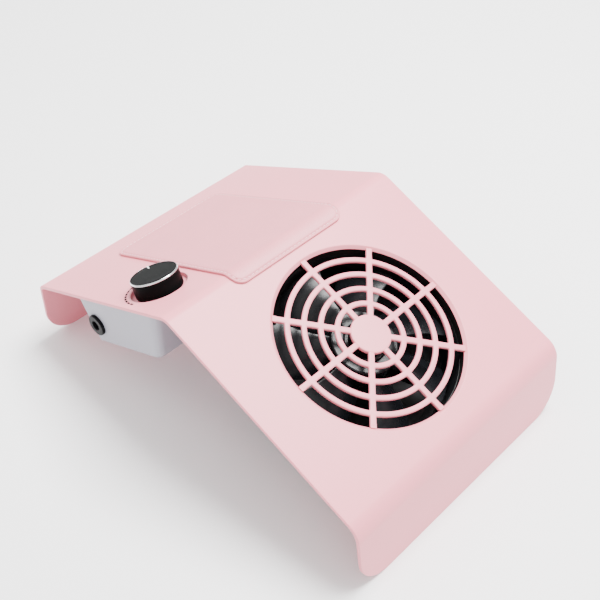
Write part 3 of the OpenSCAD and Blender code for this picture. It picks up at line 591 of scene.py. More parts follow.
fan_t = 25
fan_point = intake_point - (fan_gap + fan_t) * slope_axes[2]
black_satin = plastic("black_satin", (0.005, 0.005, 0.006), 0.38, mottle=0.15, mottle_scale=90,
                      grain_scale=1800, grain=0.00003, grain_strength=0.5, Specular_IOR_Level=0.35)


def dressed(node, finish, edge):
    """Gives a CAD node its finish, joins the facets of each flat face and puts a small round on its edges."""
    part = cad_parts[node]
    part.data.materials.clear()
    part.data.materials.append(finish)
    part.data.polygons.foreach_set("use_smooth", np.ones(len(part.data.polygons), bool))
    weld = part.modifiers.new("weld", "WELD")
    weld.merge_threshold = 0.000004
    flat = part.modifiers.new("flat_faces", "DECIMATE")
    flat.decimate_type, flat.angle_limit = "DISSOLVE", np.radians(0.6)
    ease = part.modifiers.new("rounded_edges", "BEVEL")
    ease.width, ease.segments, ease.limit_method = edge * 0.001, 2, "ANGLE"
    ease.angle_limit = np.radians(32)
    ease.harden_normals = True


dressed("fan_frame", black_satin, 0.3)

# ---- Impeller ----
# Seven swept blades on a round cup, moulded in one piece of black plastic, which holds the steel yoke inside.

hub_r, hub_z, hub_top = 21, 4.4, 22.4
blade_r, blade_count = 55.8, 7
blade_low, blade_high = 5.2, 20.8
blade_rows, blade_columns = 20, 18


def blade():
    """One blade as a closed grid of radius and place round its section. The chord's width, its height, its
    sweep and its thickness are smooth functions of the share u of the radius; the section is a thin bow."""
    u = np.linspace(0, 1, blade_rows)[:, None]
    a = once_round(2 * blade_columns)
    chord = np.sign(np.cos(a)) * abs(np.cos(a)) ** 0.8
    r = hub_r - 0.8 + (blade_r - hub_r + 0.8) * u
    corner = np.sqrt(np.clip(1 - np.clip((u - 0.94) / 0.06, 0, 1) ** 2 * 0.25, 0, 1))
    width = (8.5 + 7.5 * u**0.8) * corner
    rise = (7.4 - 1.7 * u) * corner
    pitch = np.arctan2(rise, width)
    thick = (0.95 - 0.45 * u) * np.sin(a)
    sweep = np.radians(13) * u**1.4
    bow = 1.7 * (1 - chord**2)
    across = chord * width + thick * np.sin(pitch)
    z = (blade_low + blade_high) / 2 - 0.3 - chord * rise + bow - 0.8 + thick * np.cos(pitch)
    angle = across / r - sweep
    points = np.stack(np.broadcast_arrays(r * np.cos(angle), r * np.sin(angle),
                                          np.clip(z, blade_low, blade_high)), -1)
    root, tip = (p.mean(0) + 0 * p for p in (points[0], points[-1]))
    return np.concatenate([root[None], points, tip[None]])


blades = moved(many(tube(blade()), np.zeros((blade_count, 3)), turns(blade_count)), fan_point, slope_axes)
cup = turned(eased([[0, hub_top], [11, hub_top], [12.2, hub_top - 0.5], [13.4, hub_top], [hub_r, hub_top],
                    [hub_r, hub_z], [19.6, hub_z], [19.6, hub_top - 1.2], [0, hub_top - 1.2]],
                   [0, 0.4, 0.4, 0.4, 1.6, 0.4, 0.3, 0.4, 0], 5), 128, fan_point, slope_axes)
shaft_boss = ring_solid([[1.5, 17.2], [3.2, 17.2], [3.2, 21.6], [1.5, 21.6]], 0.15, 48, fan_point, slope_axes)
impeller_black = plastic("impeller_black", (0.006, 0.0065, 0.008), 0.27, mottle=0.12, mottle_scale=70,
                         grain_scale=1500, grain=0.00002, grain_strength=0.4, Specular_IOR_Level=0.3)
make_piece("impeller", [blades, cup, shaft_boss],
                      "fan_rotor", impeller_black, ["fan_impeller"])

# ---- Motor ----
# An outrunner inside the impeller's cup: a drawn steel yoke with a ring magnet turns round a wound steel
# core, on a ground shaft in a bronze sleeve held by a split clip. A small board under the core drives it.


def metal(name, colour, rough, streak=(400, 400, 400), streak_height=0.00001, spread=0.08, **sockets):
    """Metal with a fine streaked grain: the noise is stretched along the tool's path by the streak scales."""
    material = plastic(name, colour, rough, mottle=0.06, mottle_scale=120, rough_spread=spread, grain_scale=8,
                       grain=streak_height, Metallic=1.0, **sockets)
    stretch, = add_nodes(material, "Mapping")
    place, fine = nodes_of(material, "Texture Coordinate", "Noise Texture.001")
    set_inputs(stretch, Scale=streak)
    wire(material, (place, "Object", stretch, "Vector"), (stretch, "Vector", fine, "Vector"))
    return material


copper_colour = (0.62, 0.23, 0.085)
steel = metal("steel", (0.56, 0.57, 0.60), 0.30)
dark_steel = metal("core_steel", (0.30, 0.30, 0.32), 0.42, streak=(60, 60, 2600), streak_height=0.00006)
magnet = plastic("magnet", (0.055, 0.050, 0.050), 0.62, mottle=0.2, mottle_scale=400, grain_scale=2500,
                 grain=0.00006, grain_strength=0.7)
bronze = metal("bronze", (0.42, 0.29, 0.14), 0.40, streak=(900, 900, 900), streak_height=0.00003)
for motor_node, motor_finish, motor_edge in (
        ("rotor_yoke", steel, 0.2), ("rotor_magnet", magnet, 0.12), ("fan_shaft", steel, 0.1),
        ("shaft_clip", steel, 0.05), ("sleeve_bearing", bronze, 0.12), ("stator_core", dark_steel, 0.08)):
    dressed(motor_node, motor_finish, motor_edge)


def winding(name, stretch):
    """Enamelled copper wire: bands across the winding are its turns, rounded by the bump of a sine wave."""
    material = metal(name, copper_colour, 0.26)
    turns_wave, along = add_nodes(material, "TexWave", "Mapping")
    place, bump = nodes_of(material, "Texture Coordinate", "Bump")
    turns_wave.wave_profile = "SIN"
    set_inputs(turns_wave, Scale=1, Distortion=0.6)
    set_inputs(along, Scale=stretch)
    set_inputs(bump, Distance=0.00012, Strength=0.9)
    wire(material, (place, "Object", along, "Vector"), (along, "Vector", turns_wave, "Vector"),
         (turns_wave, "Fac", bump, "Height"))
    return material


dressed("stator_coils", winding("coil_copper", (700, 700, 700)), 0.6)


def circuit_board(name):
    """Solder mask: broad tracks and fine ones show as slightly lighter, raised green bands; the cells' edges
    of a Manhattan Voronoi pattern give them their square turns."""
    material = plastic(name, (0.012, 0.105, 0.045), 0.28, mottle=0.12, mottle_scale=200)
    tracks, edge, shade = add_nodes(material, "TexVoronoi", "MapRange", "MixRGB")
    place, bump = nodes_of(material, "Texture Coordinate", "Bump")
    tracks.distance, tracks.feature = "MANHATTAN", "F1"
    set_inputs(tracks, Scale=260)
    set_inputs(edge, From_Min=0.42, From_Max=0.5)
    set_inputs(shade, Color2=(0.03, 0.20, 0.085, 1))
    wire(material, (place, "Object", tracks, "Vector"), (tracks, "Distance", edge, "Value"),
         (edge, "Result", shade, "Fac"), (edge, "Result", bump, "Height"))
    return recoloured(material, shade)


board_green = circuit_board("board_green")
dressed("fan_circuit_board", board_green, 0.05)
dressed("fan_screws", steel, 0.2)

# ---- Fan leads ----
# A red and a black lead run from the motor's board along the slotted strut and out of the frame, then through
# a rubber grommet into the control box, where they end in a socket on the board.

lead_r = 0.55
lead_turn = np.radians(120)
box_v0 = 14.5
box_t = 2.2
grommet_x, grommet_z = -33, 85
grommet_y = placed([0, box_v0, -shell_t], ridge_point, rear_axes)[1]
socket_v, socket_top = 44.2, -22.8


def lead_curve(points, steps=8):
    """A smooth curve from a route's first point to its last: each inner point pulls a quadratic curve between
    the middles of its two legs."""
    p = np.array(points, float)
    m = (p[1:] + p[:-1]) / 2
    t = np.linspace(0, 1, steps, endpoint=False)[None, :, None]
    curve = (1 - t) ** 2 * m[:-1, None] + 2 * t * (1 - t) * p[1:-1, None] + t**2 * m[1:, None]
    return np.concatenate([p[:1], curve.reshape(-1, 3), m[-1:], p[-1:]])


along_strut = np.array([[12, 3], [12, 2], [30, 2], [54, 2], [61.2, 2], [62.3, 6]])
red_lead = plastic("red_lead_sleeve", (0.50, 0.03, 0.025), 0.42, mottle=0.08, grain_scale=2600)
black_lead = plastic("black_lead_sleeve", (0.02, 0.02, 0.022), 0.42, mottle=0.08, grain_scale=2600)
for side, lead_name, lead_finish in ((-1, "fan_lead_red", red_lead), (1, "fan_lead_black", black_lead)):
    shift = side * 0.75 * np.array([-np.sin(lead_turn), np.cos(lead_turn), 0])
    lane = -side * 0.62
    strut = np.column_stack([along_strut[:, 0] * np.cos(lead_turn), along_strut[:, 0] * np.sin(lead_turn),
                             along_strut[:, 1]]) + shift
    climb = [[-31 + lane, 54.2, 13], [-32 + lane, 63, 15]]
    entry = np.array([[grommet_x + lane, grommet_y - 5, grommet_z],
                      [grommet_x + lane, grommet_y + 5, grommet_z]])
    in_box = [[-34 + lane, 34, -11], [-34 + lane, socket_v, -13], [-34 + lane, socket_v, -18],
              [-34 + lane, socket_v, socket_top]]
    route = np.concatenate([placed(np.concatenate([strut, climb]), fan_point, slope_axes), entry,
                            placed(in_box, ridge_point, rear_axes)])
    make_piece(lead_name, [swept(lead_curve(route), round_section(lead_r, 14), np.array([1.0, 0, 0]))],
               "housing", lead_finish, ["fan_leads"], weighted=False)
soft_rubber = plastic("grommet_rubber", (0.018, 0.018, 0.019), 0.62, mottle=0.15, grain_scale=2200,
                      grain=0.00004)
dressed("lead_grommet", soft_rubber, 0.3)

# ---- Dust bag ----
# A pouch of non-woven cloth under the fan, coloured charcoal as painted shade so that its inside, seen
# through the fan, stays dark. Its mouth is drawn over the fan's rear flange and held there by a woven elastic
# band; the pouch sags towards the rear, where the sloping fan leaves it most room.

bag_half, bag_mouth = 61.5, 7.0
bag_t = 0.7
mouth_r = 5.5


def bag_depth(y):
    """How deep the pouch hangs below the fan at a place: the floor of its side view, smoothed by an average
    over neighbouring places."""
    step = np.linspace(-9, 9, 13)[:, None, None]
    return np.interp(y + step, [-61.6, -50, 33, 50, 61.6], [5.5, 16.5, 46, 37, 7.5]).mean(0)


def bag_surface(rows=72, columns=320):
    """The pouch as rings from its mouth to the middle of its floor. Over an angle a from 0 to 90 degrees a
    ring draws in by cos(a)^(1/2) and drops by sin(a)^(1/2) of the depth, a rounded box; it narrows with
    depth, and gathers, creases and a welded seam are added as sine and exp(-(d/w)^2) terms."""
    corner = eased(corner_signs * bag_half, mouth_r * 1.25, 10, closed=True)
    ring = resampled(corner, columns)
    ring = np.roll(ring, -columns // 8, 0)
    turn = np.arctan2(ring[:, 1], ring[:, 0])[None, :]
    a = np.linspace(0, np.pi / 2, rows)[:, None]
    draw, drop = np.cos(a) ** 0.5, np.sin(a) ** 0.5
    draw[-1] = 0
    x, y = ring[:, 0] * draw, ring[:, 1] * draw
    z = -bag_depth(y) * drop
    x = x * np.interp(z, [-60, -50, -8, 8], [0.62, 0.72, 1, 1])
    gathers = 0.35 * np.sin(46 * turn + 0.9 * np.sin(7 * turn)) * np.exp(-(z / 9) ** 2) * (drop > 0)
    sag = (0.9 * np.sin(3 * turn + 2.2 * drop) * np.sin(np.pi * drop)
           + 0.55 * np.sin(7 * turn - 5 * drop) * drop * draw)
    fold = 0.7 * np.sin(x / 6.5 + 1.6 * np.sin(y / 17)) * np.clip(1 - draw, 0, 1) ** 0.7
    weld = 0.8 * np.exp(-((draw - 0.80) / 0.022) ** 2)
    inward = 1 - (0.6 - gathers) / bag_half * np.clip(drop * 3, 0, 1)
    z = np.minimum(z + sag * np.clip(drop - 0.3, 0, 1) + fold - weld * 0.7 * drop, 0.0)
    pouch = np.stack([x * inward, y * inward, z], -1)
    mouth_z = np.array([bag_mouth, bag_mouth - 0.15, 6.2, 5.2, 4.0, 2.8, 1.6, 0.6])[:, None]
    pinch = 1 - 0.3 / bag_half * np.exp(-((mouth_z - 4.5) / 1.5) ** 2) + 0 * turn
    hem = 1 + 0.18 / bag_half * np.sin(60 * turn) * np.exp(-((mouth_z - 7) / 1.6) ** 2)
    band = np.stack(np.broadcast_arrays(ring[:, 0] * pinch * hem, ring[:, 1] * pinch * hem, mouth_z), -1)
    return np.concatenate([band, pouch])


def bag_cloth(name):
    """Spunbonded cloth: random fibres from stretched noise, and the small round bond points of the calender
    on a diamond grid, which press into it and shine a little."""
    # The cloth's charcoal colour is painted shade: it keeps the inside of the pouch dark when seen through
    # the fan.
    material = plastic(name, (0.030, 0.030, 0.033), 0.85, mottle=0.12, mottle_scale=220, Sheen_Weight=0.25,
                       Sheen_Roughness=0.6)
    dots, pressed, fibres, both, shade = add_nodes(
        material, "TexVoronoi", "MapRange", "TexNoise", "Math", "MixRGB")
    place, bump = nodes_of(material, "Texture Coordinate", "Bump")
    both.operation, shade.blend_type = "MULTIPLY_ADD", "MULTIPLY"
    both.inputs[1].default_value = 0.45
    set_inputs(dots, Scale=620, Randomness=0.12)
    set_inputs(pressed, From_Min=0.18, From_Max=0.34)
    set_inputs(fibres, Scale=2400, Detail=8)
    set_inputs(shade, Fac=0.10)
    set_inputs(bump, Distance=0.00012, Strength=0.7)
    wire(material, (place, "Object", dots, "Vector"), (place, "Object", fibres, "Vector"),
         (dots, "Distance", pressed, "Value"), (fibres, "Fac", both, 0), (pressed, "Result", both, 2),
         (both, "Value", bump, "Height"), (pressed, "Result", shade, "Color2"))
    return recoloured(material, shade)


bag = make_piece("dust_pouch", [moved(tube(bag_surface()), fan_point, slope_axes)], "bag",
                 bag_cloth("bag_cloth"), ["dust_bag"], sharp_deg=80, weighted=False)
cloth = bag.modifiers.new("cloth_thickness", "SOLIDIFY")
cloth.thickness, cloth.offset = bag_t * 0.001, -1

elastic_out, elastic_in = 62.75, 61.65


def elastic_band(columns=900):
    """The band round the mouth: a flat section with five ribs along it, carried round a rounded square and
    let in and out by a small wave where the cloth gathers."""
    outer = resampled(eased(corner_signs * elastic_out, 6.5, 12, closed=True), columns)
    out_dir = unit(outer - np.clip(outer, -56, 56))
    turn = np.arctan2(outer[:, 1], outer[:, 0])
    z = np.linspace(3.05, 5.95, 22)
    ribs = 0.12 * abs(np.sin(np.pi * 5 * (z - z[0]) / (z[-1] - z[0])))
    face = np.column_stack([-0.12 + ribs, z])
    back = np.column_stack([np.full(2, elastic_in - elastic_out), [5.9, 3.1]])
    section = np.concatenate([face, back])
    wave = 0.05 * np.sin(120 * turn)
    reach = section[:, :1] + wave
    points = np.stack([outer[:, 0] + reach * out_dir[:, 0], outer[:, 1] + reach * out_dir[:, 1],
                       np.broadcast_to(section[:, 1:], reach.shape)], -1)
    return moved(tube(np.concatenate([points, points[:1]])), fan_point, slope_axes)


elastic_weave = plastic("elastic_weave", (0.020, 0.020, 0.022), 0.75, mottle=0.15, mottle_scale=1800,
                        grain_scale=3200,
                        grain=0.00012, grain_strength=0.8, Sheen_Weight=0.3)
mouth_elastic = make_piece("mouth_elastic", [elastic_band()], "bag", elastic_weave,
                           ["bag_elastic"],
                           sharp_deg=50, weighted=False)

# ---- Control box ----
# A pale grey moulded tray screwed up under the left side of the rear face. Its front wall stands plumb, its
# rear wall has draft; it has holes for the inlet, the fan's leads and four sunk screws, and posts for the
# board.

box_x0, box_x1 = (corner[0] * 1000 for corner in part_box("control_box"))
box_v1, box_h, rear_draft = 100, 34.5, 4
box_front_r, box_back_r = 5.0, 2.5
floor_round, inner_round, lip_round = 2.0, 1.0, 0.35
jack_v, jack_depth = 88, 21
jack_hole_r, grommet_hole_r = 5.6, 2.6
board_posts = np.array([[-52, 43, 0], [-18, 43, 0], [-52, 78, 0], [-18, 78, 0]])


def box_ends(z, inset):
    """Where the tray's front and rear walls stand along the rear face, at a height z under it."""
    front = box_v0 + (-shell_t - z) * np.tan(rear) + inset / np.cos(rear)
    return front, box_v1 - rear_draft * (-shell_t - z) / (box_h - shell_t) - inset


def box_shape(x_lines, v_lines):
    """The tray as parts. A grid of its floor, with rounded corners, ends in a ring; the ring climbs the outer
    wall by levels, turns over the lip and comes down the inner wall, and each level is stretched between the
    front and rear walls at its height. Floors and walls are cut where holes go through."""
    def stretched(v, z, inset):
        """A place on the floor's own length, moved to its share of the length at a height."""
        f0, r0 = box_ends(-box_h, 0)
        f1, r1 = box_ends(z, inset)
        return f1 + (v - f0) * (r1 - f1) / (r0 - f0)

    f0, r0 = box_ends(-box_h, 0)
    x_mid, v_mid = (box_x0 + box_x1) / 2, (f0 + r0) / 2
    half_x, half_v = (box_x1 - box_x0) / 2, (r0 - f0) / 2
    x, v = np.meshgrid(x_lines - x_mid, v_lines - v_mid)
    corner = np.where(v > 0, box_back_r, box_front_r)

    def level(x, v, out, z, inset):
        """Points of one level: grid places moved out by a distance, inside the wall by inset."""
        lines_x, lines_v, out_x, out_v = rounded_plan(x, v, half_x - floor_round, half_v - floor_round,
                                                      np.maximum(corner - floor_round, 0.5))
        squeeze = (half_x - inset) / half_x
        px = x_mid + (lines_x + out * out_x) * squeeze
        return placed(np.stack([px, stretched(v_mid + lines_v + out * out_v, z, inset), z + 0 * px], -1),
                      ridge_point, rear_axes)

    floor_out = level(x, v, 0, -box_h, 0)
    floor_in = level(x, v, inner_round * 0.9, -box_h + box_t, box_t)
    edge = ring_of(0, x.shape[0] - 1, 0, x.shape[1] - 1)
    a = np.linspace(0, np.pi / 2, 7)
    heights = np.array([-30.2, -28, -25.2, -22.4, -19.6, -16.6, -14, -11, -7.6, -5])
    rows = [(floor_round * np.sin(t), -box_h + floor_round * (1 - np.cos(t)), 0) for t in a]
    rows += [(floor_round, z, 0) for z in heights]
    lip = -shell_t - 0.05
    b = np.linspace(0, np.pi / 2, 4)
    rows += [(floor_round, lip - lip_round * (1 - np.sin(t)), lip_round * (1 - np.cos(t))) for t in b]
    rows += [(floor_round, lip - lip_round * (1 - np.cos(t)), box_t - lip_round * (1 - np.sin(t))) for t in b]
    rows += [(floor_round, z, box_t) for z in heights[::-1]]
    rows += [(floor_round - (inner_round * (1 - np.sin(t))), -box_h + box_t + inner_round * (1 - np.cos(t)),
              box_t)
             for t in a[::-1]]
    wall = np.stack([level(x, v, out, z, inset)[edge] for out, z, inset in rows])
    wall[0], wall[-1] = floor_out[edge], floor_in[edge]
    return floor_out, floor_in, wall, heights, len(a)


floor_x = spaced([box_x0 + 2, -86.1, -78.9, -61.6, -54.4, -37.5, -28.5, -13.1, -5.9, box_x1 - 2],
                 [1, 7, 8, 7, 8, 10, 7, 7, 1])
floor_v = spaced([box_ends(-box_h, 0)[0] + 2, 32.9, 40.1, 81, 85.4, 92.6, 93.4, box_ends(-box_h, 0)[1] - 2],
                 [2, 7, 14, 3, 7, 1, 1])
floor_out, floor_in, wall, heights, fillet_rows = box_shape(floor_x, floor_v)
wall_rows = len(wall)
box_parts = []
keep = np.ones((len(floor_v) - 1, len(floor_x) - 1), bool)
for boss in box_boss_at:
    block = (*np.searchsorted(floor_v, np.round([boss[1] - 3.6, boss[1] + 3.6], 6)),
             *np.searchsorted(floor_x, np.round([boss[0] - 3.6, boss[0] + 3.6], 6)))
    keep[block[0]:block[1], block[2]:block[3]] = False
    loop = ring_of(*block)
    sunk = eased([[3.4, -box_h], [2.8, -box_h], [2.8, -box_h + 0.9], [1.4, -box_h + 0.9],
                  [1.4, -box_h + box_t],
                  [2.0, -box_h + box_t]], [0, 0.2, 0.1, 0.1, 0.1, 0], 3)
    box_parts.append(hole_strip(floor_out[loop], floor_in[loop],
                                placed([boss[0], boss[1], 0], ridge_point, rear_axes),
                                rear_axes, sunk, 2))
quads = grid_faces(len(floor_v), len(floor_x))[keep.ravel()]
box_parts += [(floor_out.reshape(-1, 3), quads), (floor_in.reshape(-1, 3), quads)]

wall_keep = np.ones((wall_rows - 1, wall.shape[1]), bool)
jack_point = placed([box_x0, jack_v, -jack_depth], ridge_point, rear_axes)
jack_axes = np.array([rear_axes[1], rear_axes[2], rear_axes[0]])
grommet_point = np.array([grommet_x, grommet_y, grommet_z])
grommet_axes = np.array([[1.0, 0, 0], [0, 0, 1], [0, -1, 0]])
side_start = wall.shape[1] - (len(floor_v) - 1)
jack_columns = [side_start + len(floor_v) - 1 - np.searchsorted(floor_v, stop) for stop in (93.4, 81)]
grommet_columns = np.searchsorted(floor_x, [-37.5, -28.5])
for columns, (z0, z1), origin, axes, hole_r, depth in (
        (jack_columns, (-28, -14), jack_point, jack_axes, jack_hole_r, box_t),
        (grommet_columns, (-16.6, -7.6), grommet_point, grommet_axes, grommet_hole_r, -box_t)):
    r0, r1 = (fillet_rows + int(np.searchsorted(heights, z)) for z in (z0, z1))
    i, j = ring_of(r0, r1, columns[0], columns[1])
    wall_keep[r0:r1, columns[0]:columns[1]] = False
    wall_keep[wall_rows - 1 - r1:wall_rows - 1 - r0, columns[0]:columns[1]] = False
    through = eased([[hole_r + 0.7, 0], [hole_r, 0], [hole_r, depth], [hole_r + 0.7, depth]],
                    [0, 0.25, 0.1, 0], 3)
    box_parts.append(hole_strip(wall[i, j], wall[wall_rows - 1 - i, j], origin, axes, through, 2))
wall_points, wall_quads = tube(wall)
box_parts.append((wall_points, wall_quads[wall_keep.ravel()]))
post = ring_solid([[1.05, -33.0], [2.8, -33.0], [2.8, -27], [1.05, -27]], [0.05, 0.05, 0.3, 0.2], 40)
box_parts.append(many((post[0] @ rear_axes, post[1]), placed(board_posts, ridge_point, rear_axes), np.eye(3)))
box_grey = plastic("box_grey", (0.335, 0.325, 0.375), 0.46, mottle=0.02, mottle_scale=40, grain_scale=2600,
                   grain=0.00004, grain_strength=0.5)
make_piece("control_box_tray", box_parts, "housing", box_grey, ["control_box"])
dressed("box_screws", steel, 0.15)

# ---- Power inlet ----
# A black barrel jack screwed into the box's left wall: a round flange outside, a threaded barrel inside with
# a hexagonal nut, and a plated centre pin in the socket.

thread_z = np.arange(0.8, 9.4, 0.2)
thread_line = np.column_stack([5.5 - 0.15 * (1 - np.cos(2 * np.pi * thread_z / 0.8)), thread_z])
flange_r, socket_r, socket_floor = 7.0, 3.0, 9.5
jack_line = np.concatenate([
    eased([[0, socket_floor], [socket_r, socket_floor], [socket_r, -1.5], [3.5, -2.0], [flange_r, -2.0],
           [flange_r, 0], [5.5, 0], [5.5, 0.8]], [0, 0.3, 0.15, 0.15, 0.7, 0.15, 0.1, 0], 4),
    thread_line, eased([[5.5, 9.6], [5.5, 10], [4.6, 10], [4.6, 15], [0, 15]], [0, 0.2, 0.1, 0.3, 0], 3)])
inlet_black = plastic("inlet_black", (0.004, 0.004, 0.005), 0.34, mottle=0.15, mottle_scale=300,
                      grain_scale=2500, grain=0.00002, Specular_IOR_Level=0.08)
make_piece("power_inlet", [turned(jack_line, 72, jack_point, jack_axes)], "housing",
           inlet_black,
           ["power_jack"])
dressed("jack_nut", steel, 0.25)
dressed("jack_pin", metal("plated_pin", (0.66, 0.64, 0.58), 0.22), 0.25)

# ---- Potentiometer ----
# The speed control under the knob: a pressed steel can with a threaded bush, held in the recess by a washer
# and nut, a phenolic track plate with three lugs, and an aluminium shaft with a flat that carries the wiper.

aluminium = metal("aluminium", (0.66, 0.67, 0.69), 0.28, streak=(300, 300, 300))
phenolic = plastic("phenolic", (0.23, 0.11, 0.045), 0.55, mottle=0.22, mottle_scale=500, grain_scale=2600,
                   grain=0.00004)
spring_copper = metal("spring_copper", (0.60, 0.30, 0.14), 0.34)
for pot_node, pot_finish, pot_edge in (
        ("body", steel, 0.3), ("track", phenolic, 0.1), ("shaft", aluminium, 0.2),
        ("wiper", spring_copper, 0.08), ("washer", steel, 0.06), ("nut", steel, 0.2)):
    dressed("pot_" + pot_node, pot_finish, pot_edge)

# ---- Control board ----
# A green board on four posts in the box: smoothing capacitors, a choke, a drive transistor on a finned heat
# sink, the speed controller and three ivory sockets for the leads of the inlet, the fan and the
# potentiometer.

board_top = -25.4
chip_black = plastic("chip_epoxy", (0.025, 0.025, 0.027), 0.55, mottle=0.1, mottle_scale=900,
                     grain_scale=5000,
                     grain=0.00002)
ivory = plastic("ivory_nylon", (0.76, 0.71, 0.58), 0.42, mottle=0.03, mottle_scale=200)
lead_white = plastic("white_lead_sleeve", (0.62, 0.61, 0.58), 0.42, mottle=0.06, grain_scale=2600)
for board_node, board_finish, board_edge in (
        ("control_board", board_green, 0.08), ("board_screws", steel, 0.12),
        ("transistor_heat_sink", aluminium, 0.15), ("drive_transistor", chip_black, 0.15),
        ("controller_chip", chip_black, 0.08), ("wire_sockets", ivory, 0.15),
        ("jack_leads", red_lead, 0.02), ("pot_leads", lead_white, 0.02)):
    dressed(board_node, board_finish, board_edge)


def capacitor(r, h):
    """A can's outline: a flat base, a rolled groove above the rubber bung, the sleeve's straight side and its
    turned-in rim round a slightly sunk top."""
    return turned(eased([[0, 0], [r - 0.25, 0], [r - 0.25, 0.5], [r, 0.9], [r, 1.4], [r - 0.35, 1.8],
                         [r, 2.2],
                         [r, h], [r - 0.7, h], [r - 0.85, h - 0.2], [0, h - 0.2]],
                        [0, 0.15, 0.2, 0.2, 0.3, 0.3, 0.3, 0.45, 0.1, 0.1, 0], 4), 56)




def on_board(part, x, v):
    """A part stood on the control board at a place."""
    return moved(part, placed([x, v, board_top], ridge_point, rear_axes), rear_axes)


cans = [on_board(capacitor(r, h), x, v) for r, h, x,
        v in ((4, 11, -44, 74), (3.15, 9, -34, 75), (2.5, 7, -45, 56))]
make_piece("capacitors", cans, "housing",
           plastic("capacitor_sleeve", (0.018, 0.026, 0.11), 0.22, mottle=0.08, mottle_scale=300),
           ["board_capacitors"])


def choke(core_r=3.7, half=1.3, tall=2.5, wraps=26, columns=520, around=28):
    """Wire wound on a ring core: an oval section carried round a circle, pushed out by |cos| of the place
    round the ring times half the number of wraps, so each wrap stands up as a round ridge."""
    turn, a = once_round(columns)[:, None], once_round(around)
    ridge_out = 0.92 + 0.08 * abs(np.cos(wraps * turn / 2))
    r = core_r + (half * ridge_out) * np.sign(np.cos(a)) * abs(np.cos(a)) ** 0.6
    z = 2.5 + tall * ridge_out * np.sign(np.sin(a)) * abs(np.sin(a)) ** 0.6
    points = np.stack([r * np.cos(turn), r * np.sin(turn), z], -1)
    return tube(np.concatenate([points, points[:1]]))


make_piece("choke_winding", [on_board(choke(), -35, 62)], "housing",
           metal("choke_copper", copper_colour, 0.26), ["board_inductor"], weighted=False)

# ---- Speed knob ----
# A satin black knob with a bright bevelled ring let into its top edge and a silver pointer. It stands in the
# round recess, and a broken line printed round the recess marks its travel.

knob_r, knob_h, knob_foot = 14.6, 8.9, -1.9
rim_r, ring_z = 14.15, 8.15
pointer_turn = np.radians(20.5)
pointer_axes = np.array([[np.cos(pointer_turn), -np.sin(pointer_turn), 0],
                         [np.sin(pointer_turn), np.cos(pointer_turn), 0], [0, 0, 1]]) @ rear_axes


def spun(material, middle, fineness):
    """Adds a lathe's circles to a finish: the bump is a wave of the distance from the knob's axis."""
    centre, rings, half, mix = add_nodes(material, "Mapping", "TexWave", "Math", "Math")
    place, fine, bump = nodes_of(material, "Texture Coordinate", "Noise Texture.001", "Bump")
    centre.vector_type = "TEXTURE"
    rings.wave_type, rings.rings_direction, rings.wave_profile = "RINGS", "Z", "SIN"
    half.operation, mix.operation = "MULTIPLY", "ADD"
    half.inputs[1].default_value = 0.5
    set_inputs(centre, Location=middle * 0.001, Rotation=(-rear, 0, 0))
    set_inputs(rings, Scale=fineness)
    wire(material, (place, "Object", centre, "Vector"), (centre, "Vector", rings, "Vector"),
         (rings, "Fac", half, 0), (half, "Value", mix, 0), (fine, "Fac", mix, 1),
         (mix, "Value", bump, "Height"))
    return material


knob_black = spun(plastic("knob_black", (0.003, 0.0035, 0.0035), 0.30, mottle=0.12, mottle_scale=140,
                          grain_scale=2400, grain=0.00001, grain_strength=0.4, Specular_IOR_Level=0.02),
                  knob_point, 500)
grip = eased([[0, knob_h - 0.18], [rim_r, knob_h - 0.12], [rim_r, ring_z], [knob_r, ring_z],
              [knob_r, knob_foot],
              [12, knob_foot], [12, 1], [0, 1]], [0, 0.15, 0.05, 0.12, 0.35, 0.15, 0.2, 0], 4)
make_piece("knob_grip", [turned(grip, 160, knob_point, rear_axes)], "speed_knob", knob_black,
           ["knob_body"])
bright_ring = metal("bright_ring", (0.88, 0.88, 0.89), 0.14, streak=(500, 500, 500), streak_height=0.000004,
                    spread=0.03)
make_piece("knob_ring", [ring_solid([[rim_r, ring_z], [knob_r + 0.1, ring_z], [knob_r + 0.1, ring_z + 0.25],
                                     [rim_r + 0.2, knob_h + 0.1], [rim_r, knob_h + 0.1]],
                                    [0.03, 0.08, 0.08, 0.06, 0.04], 200, knob_point, rear_axes, 3)],
           "speed_knob", bright_ring, ["knob_trim_ring"])
wedge = eased([[-0.32, 10.3], [0.32, 10.3], [0.6, rim_r - 0.05], [-0.6, rim_r - 0.05]], 0.2, 4, closed=True)
wedge_levels = np.array([[1, knob_h - 0.32], [1, knob_h - 0.06], [0.93, knob_h + 0.02], [0.8, knob_h + 0.04]])
wedge_mid = wedge.mean(0)
wedge_rows = np.stack([np.column_stack([wedge_mid + (wedge - wedge_mid) * share, np.full(len(wedge), z)])
                       for share, z in [[0, knob_h - 0.32], *wedge_levels, [0, knob_h + 0.04]]])
make_piece("knob_pointer_mark", [moved(tube(wedge_rows), knob_point, pointer_axes)], "speed_knob",
           plastic("pointer_white", (0.80, 0.80, 0.80), 0.35), ["knob_pointer"])

mark_r, mark_w, mark_t = 20.4, 1.25, 0.06
mark_first, mark_last, mark_count = np.radians(-1), np.radians(99), 11


